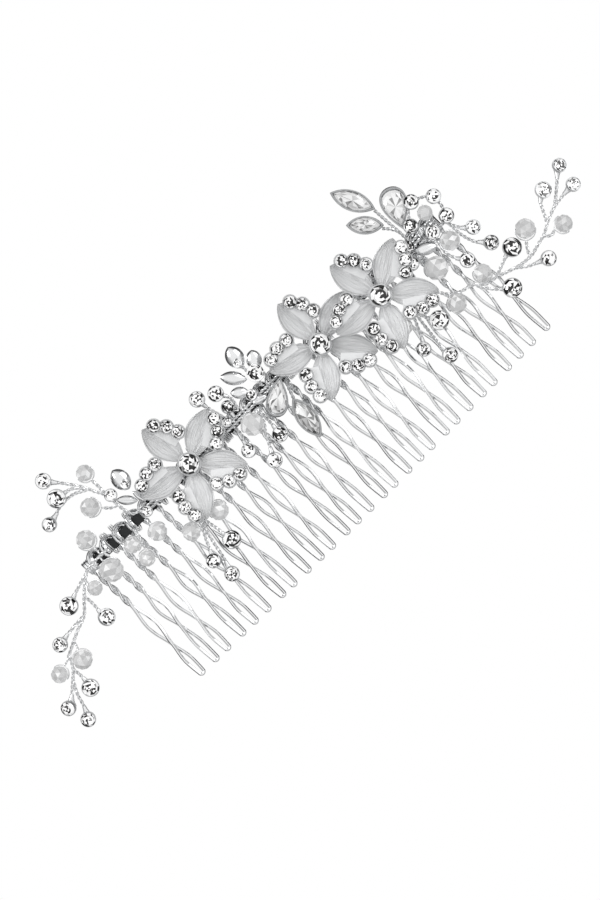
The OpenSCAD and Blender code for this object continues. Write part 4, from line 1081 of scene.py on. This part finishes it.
for kind, outline, stones in (("marquise", marquise, MARQUISES), ("teardrop", teardrop, TEARDROPS)):
    trays, cut = bmesh.new(), bmesh.new()
    trays.faces.layers.float.new("flash")
    cut.faces.layers.float.new("flash")
    for x, middle, length, width, turn in stones:
        at = Matrix.Translation((x + middle[0], middle[1], middle[2]))
        at = Matrix.Scale(MM, 4) @ TO_FRONT @ at @ Matrix.Rotation(math.radians(turn), 4, "Z")
        merge(trays, terraces(outline, length, width, TRAY_PROFILE, 60), at)
        stone = terraces(outline, length, width, CUT_PROFILE, 18)
        stone.normal_update()
        table = [face for face in stone.faces if len(face.verts) > 4 and face.normal.z > 0]
        facets = bmesh.ops.poke(stone, faces=table)["faces"]
        crown = [face for face in stone.faces if len(face.verts) == 4]
        facets += bmesh.ops.triangulate(stone, faces=crown, quad_method="ALTERNATE")["faces"]
        shade_facets(stone, facets, SMOKY_LEVELS if middle[1] < -5 else CLEAR_LEVELS)
        merge(cut, stone, at)
    trays = solid(kind + "_trays", trays, cup_silver)
    cut = solid(kind + "_cut", cut, large_glass, crease=0)
    for piece, node, slot in ((trays, kind + "_settings", "cup_metal"),
                              (cut, kind + "_stones", "clear_stone")):
        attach(piece, "root")
        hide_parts(node)

# ---- The studio: a pale floor well below, a white surround with soft grey sides, which the
# wires and cups mirror as their dark lines, and two large soft lamps.
FRAME_HEIGHT = 205.0 * MM
FRAME_MIDDLE = Vector((-2.8, 0, -15.1)) * MM
LENS = 135.0
SENSOR = 36.0

floor_paint = Finish("pale floor", Base_Color=grey(0.86), Roughness=0.8)
disc = bmesh.new()
bmesh.ops.create_circle(disc, cap_ends=True, segments=64, radius=0.6)
bmesh.ops.translate(disc, vec=(0, 0, -0.4), verts=disc.verts)
floor = solid("floor", disc, floor_paint)

world = bpy.data.worlds.new("studio")
bpy.context.scene.world = world
world.use_nodes = True
nodes, links = world.node_tree.nodes, world.node_tree.links
nodes.clear()
seen = nodes.new("ShaderNodeTexCoord")
split = nodes.new("ShaderNodeSeparateXYZ")
links.new(seen.outputs["Generated"], split.inputs[0])
facing = nodes.new("ShaderNodeMath")
facing.operation = "ABSOLUTE"
links.new(split.outputs["Y"], facing.inputs[0])
sides = nodes.new("ShaderNodeValToRGB")
sides.color_ramp.elements[0].color = (0.06, 0.06, 0.062, 1)
sides.color_ramp.elements[0].position = 0.3
sides.color_ramp.elements[1].color = (0.95, 0.95, 0.95, 1)
sides.color_ramp.elements[1].position = 0.8
links.new(facing.outputs[0], sides.inputs[0])
ray = nodes.new("ShaderNodeLightPath")
choice = nodes.new("ShaderNodeMix")
choice.data_type = "RGBA"
links.new(ray.outputs["Is Camera Ray"], choice.inputs[0])
links.new(sides.outputs[0], choice.inputs[6])
choice.inputs[7].default_value = (1, 1, 1, 1)
surround = nodes.new("ShaderNodeBackground")
links.new(choice.outputs[2], surround.inputs["Color"])
output = nodes.new("ShaderNodeOutputWorld")
links.new(surround.outputs[0], output.inputs[0])

for name, where, power in (("key", (-0.35, -0.5, 0.5), 1.5), ("fill", (0.5, -0.45, 0.1), 0.7)):
    lamp = bpy.data.lights.new(name, "AREA")
    lamp.size = 0.35
    lamp.energy = power
    holder = bpy.data.objects.new(name, lamp)
    holder.location = where
    holder.rotation_euler = (-Vector(where)).to_track_quat("-Z", "Y").to_euler()
    bpy.context.scene.collection.objects.link(holder)

lens = bpy.data.cameras.new("camera")
lens.lens = LENS
lens.sensor_width = SENSOR
lens.clip_end = 20
camera = bpy.data.objects.new("camera", lens)
right, up = Vector((1, 0, -1)).normalized(), Vector((1, 0, 1)).normalized()
back = Vector((0, -1, 0))
distance = FRAME_HEIGHT * LENS / SENSOR
turn = Matrix((right, up, back)).transposed().to_4x4()
camera.matrix_world = Matrix.Translation(FRAME_MIDDLE + back * distance) @ turn
bpy.context.scene.collection.objects.link(camera)
bpy.context.scene.camera = camera
bpy.context.scene.view_settings.view_transform = "Standard"
